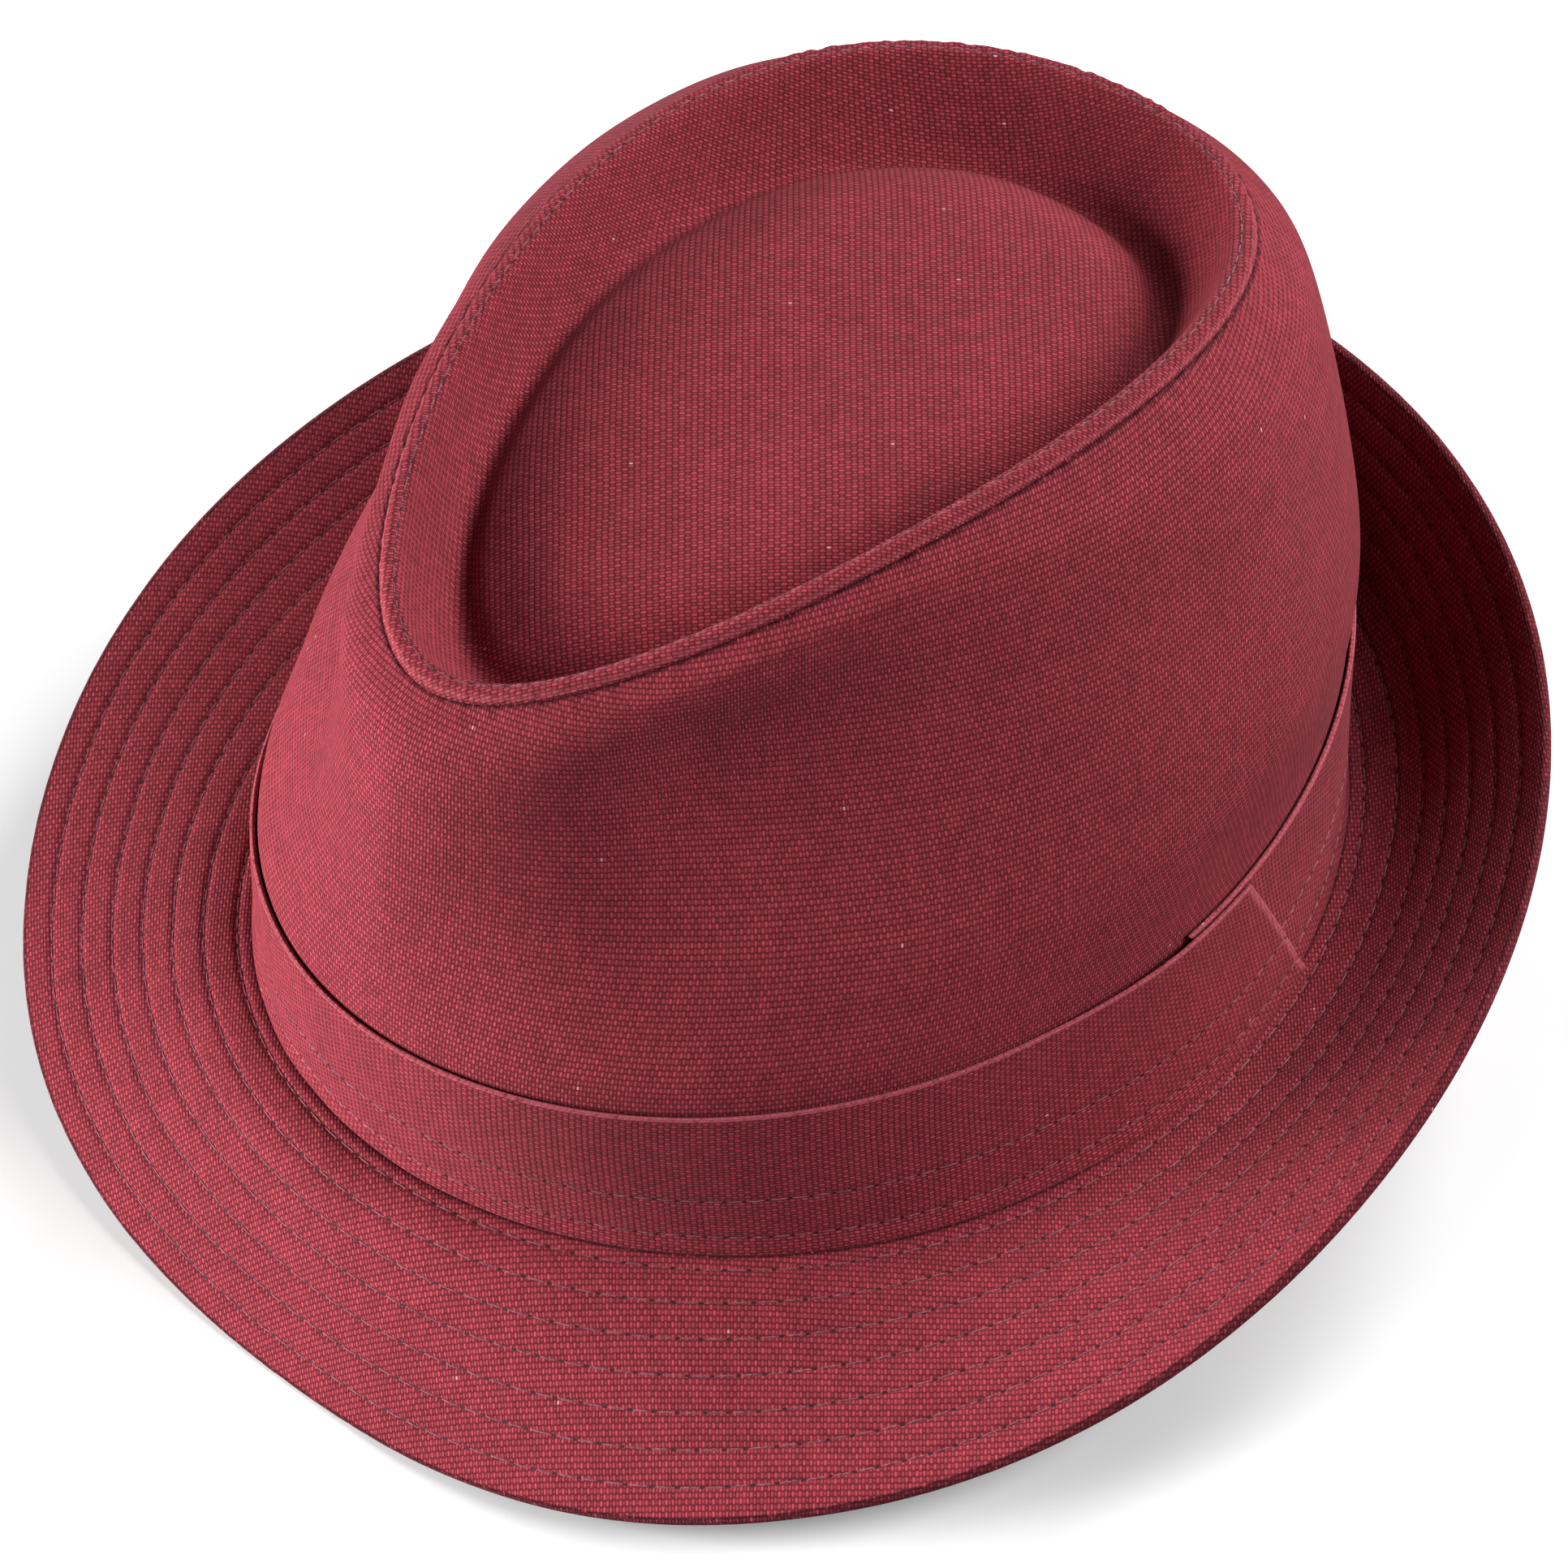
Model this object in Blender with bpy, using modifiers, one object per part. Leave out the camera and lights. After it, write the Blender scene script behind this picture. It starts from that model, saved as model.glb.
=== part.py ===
"""Canvas trilby: a stitched brim, the crown's side and tip, and a hat band lapped on the wearer's left.

Metres. The hat is worked out upright on its head line, front towards -Y and the wearer's left towards +X.
It is then pitched back and set on the floor the way it lies by itself.
Bearings run round the hat in degrees from the front, through the wearer's left, to the back.
"""
import math
from collections import namedtuple

import bmesh
import bpy
from mathutils import Matrix, Vector

# Head line: the outline of the crown's outer face where it stands on the brim
HEAD_HALF_WIDTH = 0.0835
HEAD_HALF_LENGTH = 0.1005
HEAD_SADDLE = 0.0032

# Height of the seam round the tip, above the head line
CROWN_HEIGHT = 0.1091

# Cloth
CROWN_WALL = 0.0014
TIP_WALL = 0.0014
BAND_WALL = 0.0010
BRIM_WALL = 0.0024
GAP = 0.0003

# Brim: its flat root reaches from under the crown to just past the band, then it rolls up or down
BRIM_WIDTH = 0.0413
BRIM_ROOT = 0.0030
ROLL_START = 0.30
ROLL_LENGTH = 0.35

# One pinch on each side of the crown. Bearings in degrees, levels as shares of the wall
PINCH_DEPTH = 0.0170
PINCH_BEARING = 46.0
PINCH_AHEAD = 27.0
PINCH_BEHIND = 40.0
PINCH_LEVEL = 0.656
PINCH_CLIMB = 0.0014
PINCH_OVER = 0.19
PINCH_UNDER = 0.24
PINCH_SEAM_FADE = 0.136
PINCH_BAND_FADE = 0.12

# Hat band: its top stands at this level of the wall, and its end laps over its start
BAND_LEVEL = 0.25
LAP_BEARING = 99.5
LAP_SLANT = 9.5
LAP_SPAN = 8.0
LAP_RISE = 20.0

# The brim's edge and its root are pressed flat by this much where they touch the floor
PRESSED = 0.0005

# Bearings and steps of the meshes
BEARINGS = 72
BRIM_STEPS = 7
WALL_LEVELS = (0.0, 0.125, 0.25, 0.35, 0.44, 0.53, 0.61, 0.69, 0.77, 0.84, 0.90, 0.95, 1.0)
BAND_STEPS = 2

# Sections through the crown and the tip. Half sizes are shares of the head line's, the rest are shares
# of the crown's height: up is the ring's mean height, shift moves it back, saddle lifts its front and
# back, nod lifts its front. Egg narrows the front and widens the back.
Ring = namedtuple("Ring", "up half_width half_length shift egg saddle nod")

WALL_RINGS = (
    Ring(up=0.000, half_width=1.000, half_length=1.000, shift=0.000, egg=0.000, saddle=0.029, nod=0.000),
    Ring(up=0.278, half_width=0.943, half_length=1.033, shift=0.012, egg=0.000, saddle=0.029, nod=0.000),
    Ring(up=0.525, half_width=0.958, half_length=1.005, shift=0.011, egg=0.020, saddle=-0.004, nod=-0.001),
    Ring(up=0.886, half_width=0.812, half_length=0.943, shift=-0.004, egg=0.070, saddle=-0.044, nod=-0.032),
    Ring(up=1.000, half_width=0.605, half_length=0.857, shift=-0.009, egg=0.218, saddle=-0.058, nod=-0.038),
)

TIP_RINGS = (
    Ring(up=1.000, half_width=0.603, half_length=0.855, shift=-0.009, egg=0.218, saddle=-0.058, nod=-0.038),
    Ring(up=1.010, half_width=0.590, half_length=0.844, shift=-0.009, egg=0.218, saddle=-0.058, nod=-0.038),
    Ring(up=1.014, half_width=0.573, half_length=0.829, shift=-0.009, egg=0.216, saddle=-0.058, nod=-0.038),
    Ring(up=0.996, half_width=0.556, half_length=0.812, shift=-0.010, egg=0.212, saddle=-0.057, nod=-0.038),
    Ring(up=0.930, half_width=0.529, half_length=0.765, shift=-0.012, egg=0.200, saddle=-0.052, nod=-0.038),
    Ring(up=0.878, half_width=0.502, half_length=0.713, shift=-0.013, egg=0.185, saddle=-0.048, nod=-0.037),
    Ring(up=0.872, half_width=0.476, half_length=0.683, shift=-0.013, egg=0.175, saddle=-0.046, nod=-0.037),
    Ring(up=0.905, half_width=0.433, half_length=0.643, shift=-0.013, egg=0.160, saddle=-0.040, nod=-0.035),
    Ring(up=0.940, half_width=0.335, half_length=0.530, shift=-0.010, egg=0.120, saddle=-0.025, nod=-0.030),
    Ring(up=0.962, half_width=0.180, half_length=0.300, shift=-0.006, egg=0.060, saddle=-0.010, nod=-0.015),
)
TIP_CENTRE_UP = 0.968

# Slope of the brim past its roll, in degrees above the level, at evenly spaced bearings
Slope = namedtuple("Slope", "bearing angle")

BRIM_SLOPES = (
    Slope(bearing=0.0, angle=-59.5),
    Slope(bearing=45.0, angle=-22.5),
    Slope(bearing=90.0, angle=25.5),
    Slope(bearing=135.0, angle=53.5),
    Slope(bearing=180.0, angle=72.0),
)

CANVAS = (0.235, 0.036, 0.052, 1.0)


def ease(share):
    """A smooth step from 0 to 1."""
    share = min(max(share, 0.0), 1.0)
    return share * share * (3.0 - 2.0 * share)


def blend(before, start, end, after, share):
    """Catmull-Rom curve between start and end."""
    return 0.5 * (
        2.0 * start
        + (end - before) * share
        + (2.0 * before - 5.0 * start + 4.0 * end - after) * share**2
        + (3.0 * start - before - 3.0 * end + after) * share**3
    )


def along(values, place, mirrored=False):
    """The smooth curve through evenly spaced values, at place counted in steps."""
    last = len(values) - 1
    index = min(max(int(place), 0), last - 1)
    before = values[index - 1] if index > 0 else (values[1] if mirrored else 2 * values[0] - values[1])
    after = (
        values[index + 2]
        if index + 2 <= last
        else (values[last - 1] if mirrored else 2 * values[last] - values[last - 1])
    )
    return blend(before, values[index], values[index + 1], after, place - index)


def ring_at(rings, place):
    """The section at a place counted in rings, read off smooth curves through each column."""
    return Ring(*(along([ring[column] for ring in rings], place) for column in range(len(Ring._fields))))


def ring_point(ring, bearing):
    """The point of a section at a bearing."""
    angle = math.radians(bearing)
    sin, cos = math.sin(angle), math.cos(angle)
    return Vector(
        (
            HEAD_HALF_WIDTH * ring.half_width * sin * (1.0 - ring.egg * cos),
            CROWN_HEIGHT * ring.shift - HEAD_HALF_LENGTH * ring.half_length * cos,
            CROWN_HEIGHT * (ring.up + ring.nod * cos + ring.saddle * math.cos(2.0 * angle)),
        )
    )


def outward(bearing):
    """The level direction that looks away from the head line at a bearing."""
    angle = math.radians(bearing)
    return Vector((math.sin(angle) / HEAD_HALF_WIDTH, -math.cos(angle) / HEAD_HALF_LENGTH, 0.0)).normalized()


def pinch(bearing, level):
    """How far the wall is pinched in at a bearing and a level."""
    off = abs((bearing + 180.0) % 360.0 - 180.0) - PINCH_BEARING
    over = level - (PINCH_LEVEL + PINCH_CLIMB * off)
    round_share = off / (PINCH_AHEAD if off < 0.0 else PINCH_BEHIND)
    level_share = over / (PINCH_OVER if over > 0.0 else PINCH_UNDER)
    held = ease((1.0 - level) / PINCH_SEAM_FADE) * ease((level - BAND_LEVEL) / PINCH_BAND_FADE)
    return PINCH_DEPTH * held * math.exp(-round_share**2 - level_share**2)


def wall_point(bearing, level):
    """The point of the crown wall's outer face at a bearing, level 0 at the brim and 1 at the tip's seam."""
    point = ring_point(ring_at(WALL_RINGS, level * (len(WALL_RINGS) - 1)), bearing)
    point.z += GAP * (1.0 - level)
    return point - outward(bearing) * pinch(bearing, level)


def wall_normal(bearing, level):
    """The direction that looks out of the crown wall."""
    step = 0.01
    ahead = wall_point(bearing + 1.0, level) - wall_point(bearing - 1.0, level)
    upward = wall_point(bearing, level + step) - wall_point(bearing, max(level - step, 0.0))
    return ahead.cross(upward).normalized()


def brim_point(bearing, reach):
    """The point of the brim's upper face at a bearing, reach counted from the end of the flat root."""
    angle = math.radians(bearing)
    level = HEAD_SADDLE * math.cos(2.0 * angle)
    start = Vector((HEAD_HALF_WIDTH * math.sin(angle), -HEAD_HALF_LENGTH * math.cos(angle), level))
    folded = abs((bearing + 180.0) % 360.0 - 180.0)
    slope = along([row.angle for row in BRIM_SLOPES], folded / BRIM_SLOPES[1].bearing, mirrored=True)
    out, up = BRIM_ROOT + min(reach, 0.0), 0.0
    steps = 24
    for step in range(steps):
        share = (step + 0.5) / steps * max(reach, 0.0) / BRIM_WIDTH
        turned = math.radians(slope * (ROLL_START + (1.0 - ROLL_START) * ease(share / ROLL_LENGTH)))
        out += math.cos(turned) * max(reach, 0.0) / steps
        up += math.sin(turned) * max(reach, 0.0) / steps
    return start + outward(bearing) * out + Vector((0.0, 0.0, up))


def cloth(name, rows, thickness, closed=True, centre=None):
    """A sheet lofted through rows of points, thickened inward by Solidify.

    Rows of a closed sheet run all the way round, and centre is the point that its last row shrinks to.
    """
    mesh = bpy.data.meshes.new(name)
    work = bmesh.new()
    grid = [[work.verts.new(point) for point in row] for row in rows]
    count = len(rows[0])
    for low, high in zip(grid, grid[1:]):
        for index in range(count if closed else count - 1):
            after = (index + 1) % count
            work.faces.new((low[index], low[after], high[after], high[index]))
    if centre is not None:
        pole = work.verts.new(centre)
        for index in range(count):
            work.faces.new((grid[-1][index], grid[-1][(index + 1) % count], pole))
    work.to_mesh(mesh)
    work.free()
    piece = bpy.data.objects.new(name, mesh)
    wall = piece.modifiers.new("wall", "SOLIDIFY")
    wall.thickness = thickness
    wall.offset = -1.0
    wall.use_even_offset = True
    return piece


def build_brim(bearings):
    """The brim, one stiff wall from under the crown to its outer edge."""
    inner = -(BRIM_ROOT + CROWN_WALL)
    reaches = [BRIM_WIDTH, *(BRIM_WIDTH * step / BRIM_STEPS for step in range(BRIM_STEPS - 1, -1, -1)), inner]
    return cloth("brim", [[brim_point(b, reach) for b in bearings] for reach in reaches], BRIM_WALL)


def build_crown_side(bearings):
    """The cloth wall of the crown, from the brim to the seam round the tip."""
    return cloth("crown_side", [[wall_point(b, level) for b in bearings] for level in WALL_LEVELS], CROWN_WALL)


def build_crown_tip(bearings):
    """The dished top panel, from its edge over the rolled lip and down into the gutter, to its middle."""
    rows = [[ring_point(ring, b) + Vector((0.0, 0.0, GAP)) for b in bearings] for ring in TIP_RINGS]
    middle = TIP_RINGS[-1]
    centre = Vector((0.0, CROWN_HEIGHT * middle.shift, CROWN_HEIGHT * TIP_CENTRE_UP + GAP))
    return cloth("crown_tip", rows, TIP_WALL, centre=centre)


def band_point(turn, share, start, end):
    """The band's outer face at a turn between its ends, share 0 at its lower edge and 1 at its top."""
    near_end = ease(1.0 - (end - turn) / 30.0) + ease(1.0 - (turn - start) / 30.0)
    bearing = turn + LAP_SLANT * (1.0 - share) * near_end
    lifted = ease((turn - (start + 360.0 - LAP_RISE)) / LAP_RISE)
    level = BAND_LEVEL * share
    out = GAP + BAND_WALL + lifted * (BAND_WALL + GAP)
    face = wall_normal(bearing, level)
    aside = Vector((face.x, face.y, 0.0)).normalized()
    return wall_point(bearing, level) + aside * (out / aside.dot(face))


def build_hat_band():
    """The ribbon round the foot of the crown, one strip whose end lies over its start."""
    start = LAP_BEARING - LAP_SPAN
    end = LAP_BEARING + 360.0
    pieces = BEARINGS + 4
    turns = [start + (end - start) * index / pieces for index in range(pieces + 1)]
    shares = [step / BAND_STEPS for step in range(BAND_STEPS + 1)]
    rows = [[band_point(turn, share, start, end) for turn in turns] for share in shares]
    return cloth("hat_band", rows, BAND_WALL, closed=False)


def freeze(piece):
    """Puts the thickened mesh in place of the sheet and its modifier."""
    bpy.context.view_layer.update()
    solid = bpy.data.meshes.new_from_object(piece.evaluated_get(bpy.context.evaluated_depsgraph_get()))
    piece.modifiers.clear()
    piece.data = solid
    solid.name = piece.name


def rest_pitch(points):
    """How far the hat leans back, in radians, when the floor holds it in front of and behind its middle."""
    middle = sum(point.y for point in points) / len(points)
    low, high = 0.0, math.radians(30.0)
    for _ in range(40):
        pitch = 0.5 * (low + high)
        turned = Matrix.Rotation(-pitch, 3, "X")
        foot = min(points, key=lambda point: (turned @ point).z)
        if foot.y < middle:
            low = pitch
        else:
            high = pitch
    return 0.5 * (low + high)


def settle(pieces):
    """Pitches the hat back, sets it on the floor and centres it, and presses flat what touches the floor."""
    brim = next(piece for piece in pieces if piece.name == "brim")
    turn = Matrix.Rotation(-rest_pitch([vertex.co.copy() for vertex in brim.data.vertices]), 4, "X")
    for piece in pieces:
        piece.data.transform(turn)
    points = [vertex.co for piece in pieces for vertex in piece.data.vertices]
    middle = [0.5 * (min(p[axis] for p in points) + max(p[axis] for p in points)) for axis in (0, 1)]
    floor = min(point.z for point in points) + PRESSED
    shift = Matrix.Translation((-middle[0], -middle[1], -floor))
    for piece in pieces:
        piece.data.transform(shift)
        for vertex in piece.data.vertices:
            vertex.co.z = max(vertex.co.z, 0.0)


def canvas(name):
    """The plain canvas colour of one piece."""
    material = bpy.data.materials.new(name)
    material.use_nodes = True
    shader = next(node for node in material.node_tree.nodes if node.type == "BSDF_PRINCIPLED")
    shader.inputs["Base Color"].default_value = CANVAS
    shader.inputs["Roughness"].default_value = 0.85
    return material


def main():
    """Builds the four pieces and sets the hat down."""
    for old in list(bpy.data.objects):
        bpy.data.objects.remove(old, do_unlink=True)
    group = bpy.data.collections.new("trilby")
    bpy.context.scene.collection.children.link(group)
    bearings = [360.0 * index / BEARINGS for index in range(BEARINGS)]
    pieces = [build_brim(bearings), build_crown_side(bearings), build_crown_tip(bearings), build_hat_band()]
    for piece in pieces:
        group.objects.link(piece)
        freeze(piece)
        piece.data.materials.clear()
        piece.data.materials.append(canvas(piece.name + "_canvas"))
    settle(pieces)


main()
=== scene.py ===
"""Looks of the canvas trilby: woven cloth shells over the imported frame, stitching, studio light and camera."""
from __future__ import annotations

import logging
import math
from dataclasses import dataclass, field
from enum import Enum
from typing import Callable, Sequence

import bpy
import bmesh
import numpy as np
from mathutils import Matrix, Vector

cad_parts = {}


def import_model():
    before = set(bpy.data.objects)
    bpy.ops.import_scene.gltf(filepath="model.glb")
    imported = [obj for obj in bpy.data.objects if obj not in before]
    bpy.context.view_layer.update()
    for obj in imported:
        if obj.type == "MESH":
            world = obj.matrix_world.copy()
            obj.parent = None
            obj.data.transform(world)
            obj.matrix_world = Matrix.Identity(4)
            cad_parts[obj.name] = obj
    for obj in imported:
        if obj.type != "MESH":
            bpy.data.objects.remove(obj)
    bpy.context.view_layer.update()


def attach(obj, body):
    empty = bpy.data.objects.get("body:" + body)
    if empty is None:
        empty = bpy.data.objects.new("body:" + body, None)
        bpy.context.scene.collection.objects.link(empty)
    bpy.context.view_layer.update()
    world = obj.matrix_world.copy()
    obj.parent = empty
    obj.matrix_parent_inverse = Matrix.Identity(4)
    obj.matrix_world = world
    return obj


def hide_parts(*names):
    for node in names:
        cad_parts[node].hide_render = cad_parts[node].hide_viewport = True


LOG = logging.getLogger("trilby")
Array = np.ndarray
Colour = tuple[float, float, float, float]
MM = 0.001
FULL_TURN = 2.0 * math.pi
PAST_EDGE = 0.02
# Near-black painted shade for the cracks along seams and folded edges.
SHADED: Colour = (0.022, 0.002, 0.004, 1.0)


class Side(Enum):
    """The face of a cloth that a row of stitching shows on."""

    TOP = 1.0
    UNDER = -1.0


class Grain(Enum):
    """How a piece was cut from the cloth, which sets where its threads run."""

    FLAT_RING = "flat ring"
    UPRIGHT_STRIP = "upright strip"
    DISC = "disc"


def ease(share: Array) -> Array:
    """A smooth step from 0 to 1.

    Args:
        share: Where on the step, below 0 before it and above 1 after it.

    Returns:
        The eased share, of the same shape.
    """
    share = np.clip(share, 0.0, 1.0)
    return share * share * (3.0 - 2.0 * share)


def bell(offset: Array, width: float) -> Array:
    """A smooth bump of height 1.

    Args:
        offset: Distance from the bump's middle.
        width: Distance at which the bump has fallen to about a third.

    Returns:
        The bump's height at each offset.
    """
    return np.exp(-((offset / width) ** 2))


def heading(azimuth: float, elevation: float) -> Vector:
    """The direction that looks away from the hat.

    Args:
        azimuth: Degrees from the front, through the wearer's left.
        elevation: Degrees above the floor.

    Returns:
        A unit vector.
    """
    across, up = math.radians(azimuth), math.radians(elevation)
    return Vector((math.sin(across) * math.cos(up), -math.cos(across) * math.cos(up), math.sin(up)))


def add_object(name: str, data: bpy.types.ID) -> bpy.types.Object:
    """Links a new object to the scene.

    Args:
        name: The object's name.
        data: Its mesh, light or camera.

    Returns:
        The new object.
    """
    new = bpy.data.objects.new(name, data)
    bpy.context.scene.collection.objects.link(new)
    return new


def unit(vectors: Array, least: float = 0.0) -> Array:
    """Vectors of length 1.

    Args:
        vectors: Vectors, with x, y and z last.
        least: The shortest length to divide by.

    Returns:
        The same directions.
    """
    return vectors / np.maximum(np.linalg.norm(vectors, axis=-1, keepdims=True), least)


def smooth_through(values: Array, place: Array, mirrored: bool = False) -> Array:
    """The smooth curve through evenly spaced values.

    Args:
        values: One row for each step, with any number of columns.
        place: Where to read the curve, counted in steps.
        mirrored: True where the curve goes on past its ends as its mirror image.

    Returns:
        The values at each place, with the columns last.
    """
    first = values[1] if mirrored else 2.0 * values[0] - values[1]
    final = values[-2] if mirrored else 2.0 * values[-1] - values[-2]
    padded = np.concatenate([first[None], values, final[None]])
    index = np.clip(place.astype(int), 0, len(values) - 2)
    share = (place - index)[..., None]
    before, start, end, after = (padded[index + step] for step in range(4))
    return 0.5 * (
        2.0 * start
        + (end - before) * share
        + (2.0 * before - 5.0 * start + 4.0 * end - after) * share**2
        + (3.0 * start - before - 3.0 * end + after) * share**3
    )


def ripple(bearing: Array, across: Array, seed: int, rounds: Sequence[int], lengths: float) -> Array:
    """Soft unevenness that closes on itself round the hat.

    Args:
        bearing: Degrees round the hat.
        across: Distance across the cloth, in metres.
        seed: Picks the pattern.
        rounds: How many waves go round the hat, one entry for each wave train.
        lengths: The wave length across the cloth, in metres.

    Returns:
        Heights of about -1 to 1.
    """
    dice = np.random.default_rng(seed)
    total = np.zeros(np.broadcast(bearing, across).shape)
    for count in rounds:
        phase, lean, weight = dice.uniform(0, FULL_TURN), dice.uniform(-1, 1), dice.uniform(0.5, 1.0)
        waves = np.radians(bearing) * count + across / lengths * FULL_TURN * lean
        total = total + weight * np.sin(waves + phase)
    return total / math.sqrt(len(rounds))


@dataclass(frozen=True)
class HatForm:
    """The hat's surfaces, upright on its head line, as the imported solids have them.

    Bearings run in degrees from the front, through the wearer's left, to the back.
    """

    head_half_width: float = 0.0835
    head_half_length: float = 0.1005
    head_saddle: float = 0.0032
    crown_height: float = 0.1091
    crown_wall: float = 0.0014
    tip_wall: float = 0.0014
    band_wall: float = 0.0010
    brim_wall: float = 0.0024
    gap: float = 0.0003
    brim_width: float = 0.0413
    brim_root: float = 0.0030
    roll_start: float = 0.30
    roll_length: float = 0.35
    pinch_depth: float = 0.0170
    pinch_bearing: float = 46.0
    pinch_ahead: float = 27.0
    pinch_behind: float = 40.0
    pinch_level: float = 0.656
    pinch_climb: float = 0.0014
    pinch_over: float = 0.19
    pinch_under: float = 0.24
    pinch_seam_fade: float = 0.136
    pinch_band_fade: float = 0.12
    band_level: float = 0.25
    lap_bearing: float = 99.5
    lap_slant: float = 9.5
    slant_reach: float = 30.0
    lap_span: float = 8.0
    lap_rise: float = 20.0
    lean_back: float = 7.6017
    set_down_by: tuple[float, float, float] = (0.0, 0.00163, 0.012476)
    brim_slopes: tuple[float, ...] = (-59.5, -22.5, 25.5, 53.5, 72.0)
    wall_rings: tuple[tuple[float, ...], ...] = (
        (0.000, 1.000, 1.000, 0.000, 0.000, 0.029, 0.000),
        (0.278, 0.943, 1.033, 0.012, 0.000, 0.029, 0.000),
        (0.525, 0.958, 1.005, 0.011, 0.020, -0.004, -0.001),
        (0.886, 0.812, 0.943, -0.004, 0.070, -0.044, -0.032),
        (1.000, 0.605, 0.857, -0.009, 0.218, -0.058, -0.038),
    )
    tip_rings: tuple[tuple[float, ...], ...] = (
        (1.000, 0.603, 0.855, -0.009, 0.218, -0.058, -0.038),
        (1.010, 0.590, 0.844, -0.009, 0.218, -0.058, -0.038),
        (1.014, 0.573, 0.829, -0.009, 0.216, -0.058, -0.038),
        (0.996, 0.556, 0.812, -0.010, 0.212, -0.057, -0.038),
        (0.930, 0.529, 0.765, -0.012, 0.200, -0.052, -0.038),
        (0.878, 0.502, 0.713, -0.013, 0.185, -0.048, -0.037),
        (0.872, 0.476, 0.683, -0.013, 0.175, -0.046, -0.037),
        (0.905, 0.433, 0.643, -0.013, 0.160, -0.040, -0.035),
        (0.940, 0.335, 0.530, -0.010, 0.120, -0.025, -0.030),
        (0.962, 0.180, 0.300, -0.006, 0.060, -0.010, -0.015),
        (0.968, 0.000, 0.000, -0.006, 0.000, 0.000, 0.000),
    )

    def section(self, rings: Sequence[Sequence[float]], place: Array, bearing: Array) -> Array:
        """Points of the section at a place counted in rings.

        Args:
            rings: The sections, each as up, half width, half length, shift, egg, saddle and nod.
            place: Where between the rings.
            bearing: Degrees round the hat.

        Returns:
            Points, with x, y and z last.
        """
        place, bearing = np.broadcast_arrays(np.asarray(place, float), np.asarray(bearing, float))
        up, wide, long, shift, egg, saddle, nod = np.moveaxis(smooth_through(np.array(rings), place), -1, 0)
        angle = np.radians(bearing)
        sin, cos = np.sin(angle), np.cos(angle)
        return np.stack(
            [
                self.head_half_width * wide * sin * (1.0 - egg * cos),
                self.crown_height * shift - self.head_half_length * long * cos,
                self.crown_height * (up + nod * cos + saddle * np.cos(2.0 * angle)),
            ],
            axis=-1,
        )

    def outward(self, bearing: Array) -> Array:
        """The level directions that look away from the head line.

        Args:
            bearing: Degrees round the hat.

        Returns:
            Unit vectors.
        """
        angle = np.radians(bearing)
        away = np.stack(
            [
                np.sin(angle) / self.head_half_width,
                -np.cos(angle) / self.head_half_length,
                np.zeros_like(angle),
            ],
            axis=-1,
        )
        return unit(away)

    def pinch(self, bearing: Array, level: Array) -> Array:
        """How far the wall is pinched in.

        Args:
            bearing: Degrees round the hat.
            level: 0 at the brim and 1 at the tip's seam.

        Returns:
            Depths in metres.
        """
        off = np.abs((bearing + 180.0) % 360.0 - 180.0) - self.pinch_bearing
        over = level - (self.pinch_level + self.pinch_climb * off)
        round_share = off / np.where(off < 0.0, self.pinch_ahead, self.pinch_behind)
        level_share = over / np.where(over > 0.0, self.pinch_over, self.pinch_under)
        below_seam = ease((1.0 - level) / self.pinch_seam_fade)
        above_band = ease((level - self.band_level) / self.pinch_band_fade)
        return self.pinch_depth * below_seam * above_band * np.exp(-(round_share**2) - level_share**2)

    def wall(self, bearing: Array, level: Array) -> Array:
        """The crown wall's outer face.

        Args:
            bearing: Degrees round the hat.
            level: 0 at the brim and 1 at the tip's seam.

        Returns:
            Points.
        """
        bearing, level = np.broadcast_arrays(np.asarray(bearing, float), np.asarray(level, float))
        points = self.section(self.wall_rings, level * (len(self.wall_rings) - 1), bearing)
        points[..., 2] += self.gap * (1.0 - level)
        return points - self.outward(bearing) * self.pinch(bearing, level)[..., None]

    def tip(self, bearing: Array, place: Array) -> Array:
        """The tip panel's upper face.

        Args:
            bearing: Degrees round the hat.
            place: Counted in rings, 0 at the seam and highest at the middle.

        Returns:
            Points.
        """
        points = self.section(self.tip_rings, place, bearing)
        points[..., 2] += self.gap
        return points

    def brim(self, bearing: Array, reach: Array) -> Array:
        """The brim's upper face.

        Args:
            bearing: Degrees round the hat.
            reach: Metres from the end of the flat root, below 0 under the crown.

        Returns:
            Points.
        """
        bearing, reach = np.broadcast_arrays(np.asarray(bearing, float), np.asarray(reach, float))
        angle = np.radians(bearing)
        folded = np.abs((bearing + 180.0) % 360.0 - 180.0)
        slope = smooth_through(np.array(self.brim_slopes)[:, None], folded / 45.0, mirrored=True)[..., 0]
        out = self.brim_root + np.minimum(reach, 0.0)
        up = np.zeros_like(out)
        steps = 24
        for step in range(steps):
            share = (step + 0.5) / steps * np.maximum(reach, 0.0) / self.brim_width
            eased = self.roll_start + (1.0 - self.roll_start) * ease(share / self.roll_length)
            turned = np.radians(slope * eased)
            out = out + np.cos(turned) * np.maximum(reach, 0.0) / steps
            up = up + np.sin(turned) * np.maximum(reach, 0.0) / steps
        start = np.stack(
            [
                self.head_half_width * np.sin(angle),
                -self.head_half_length * np.cos(angle),
                self.head_saddle * np.cos(2.0 * angle) + up,
            ],
            axis=-1,
        )
        return start + self.outward(bearing) * out[..., None]

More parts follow.
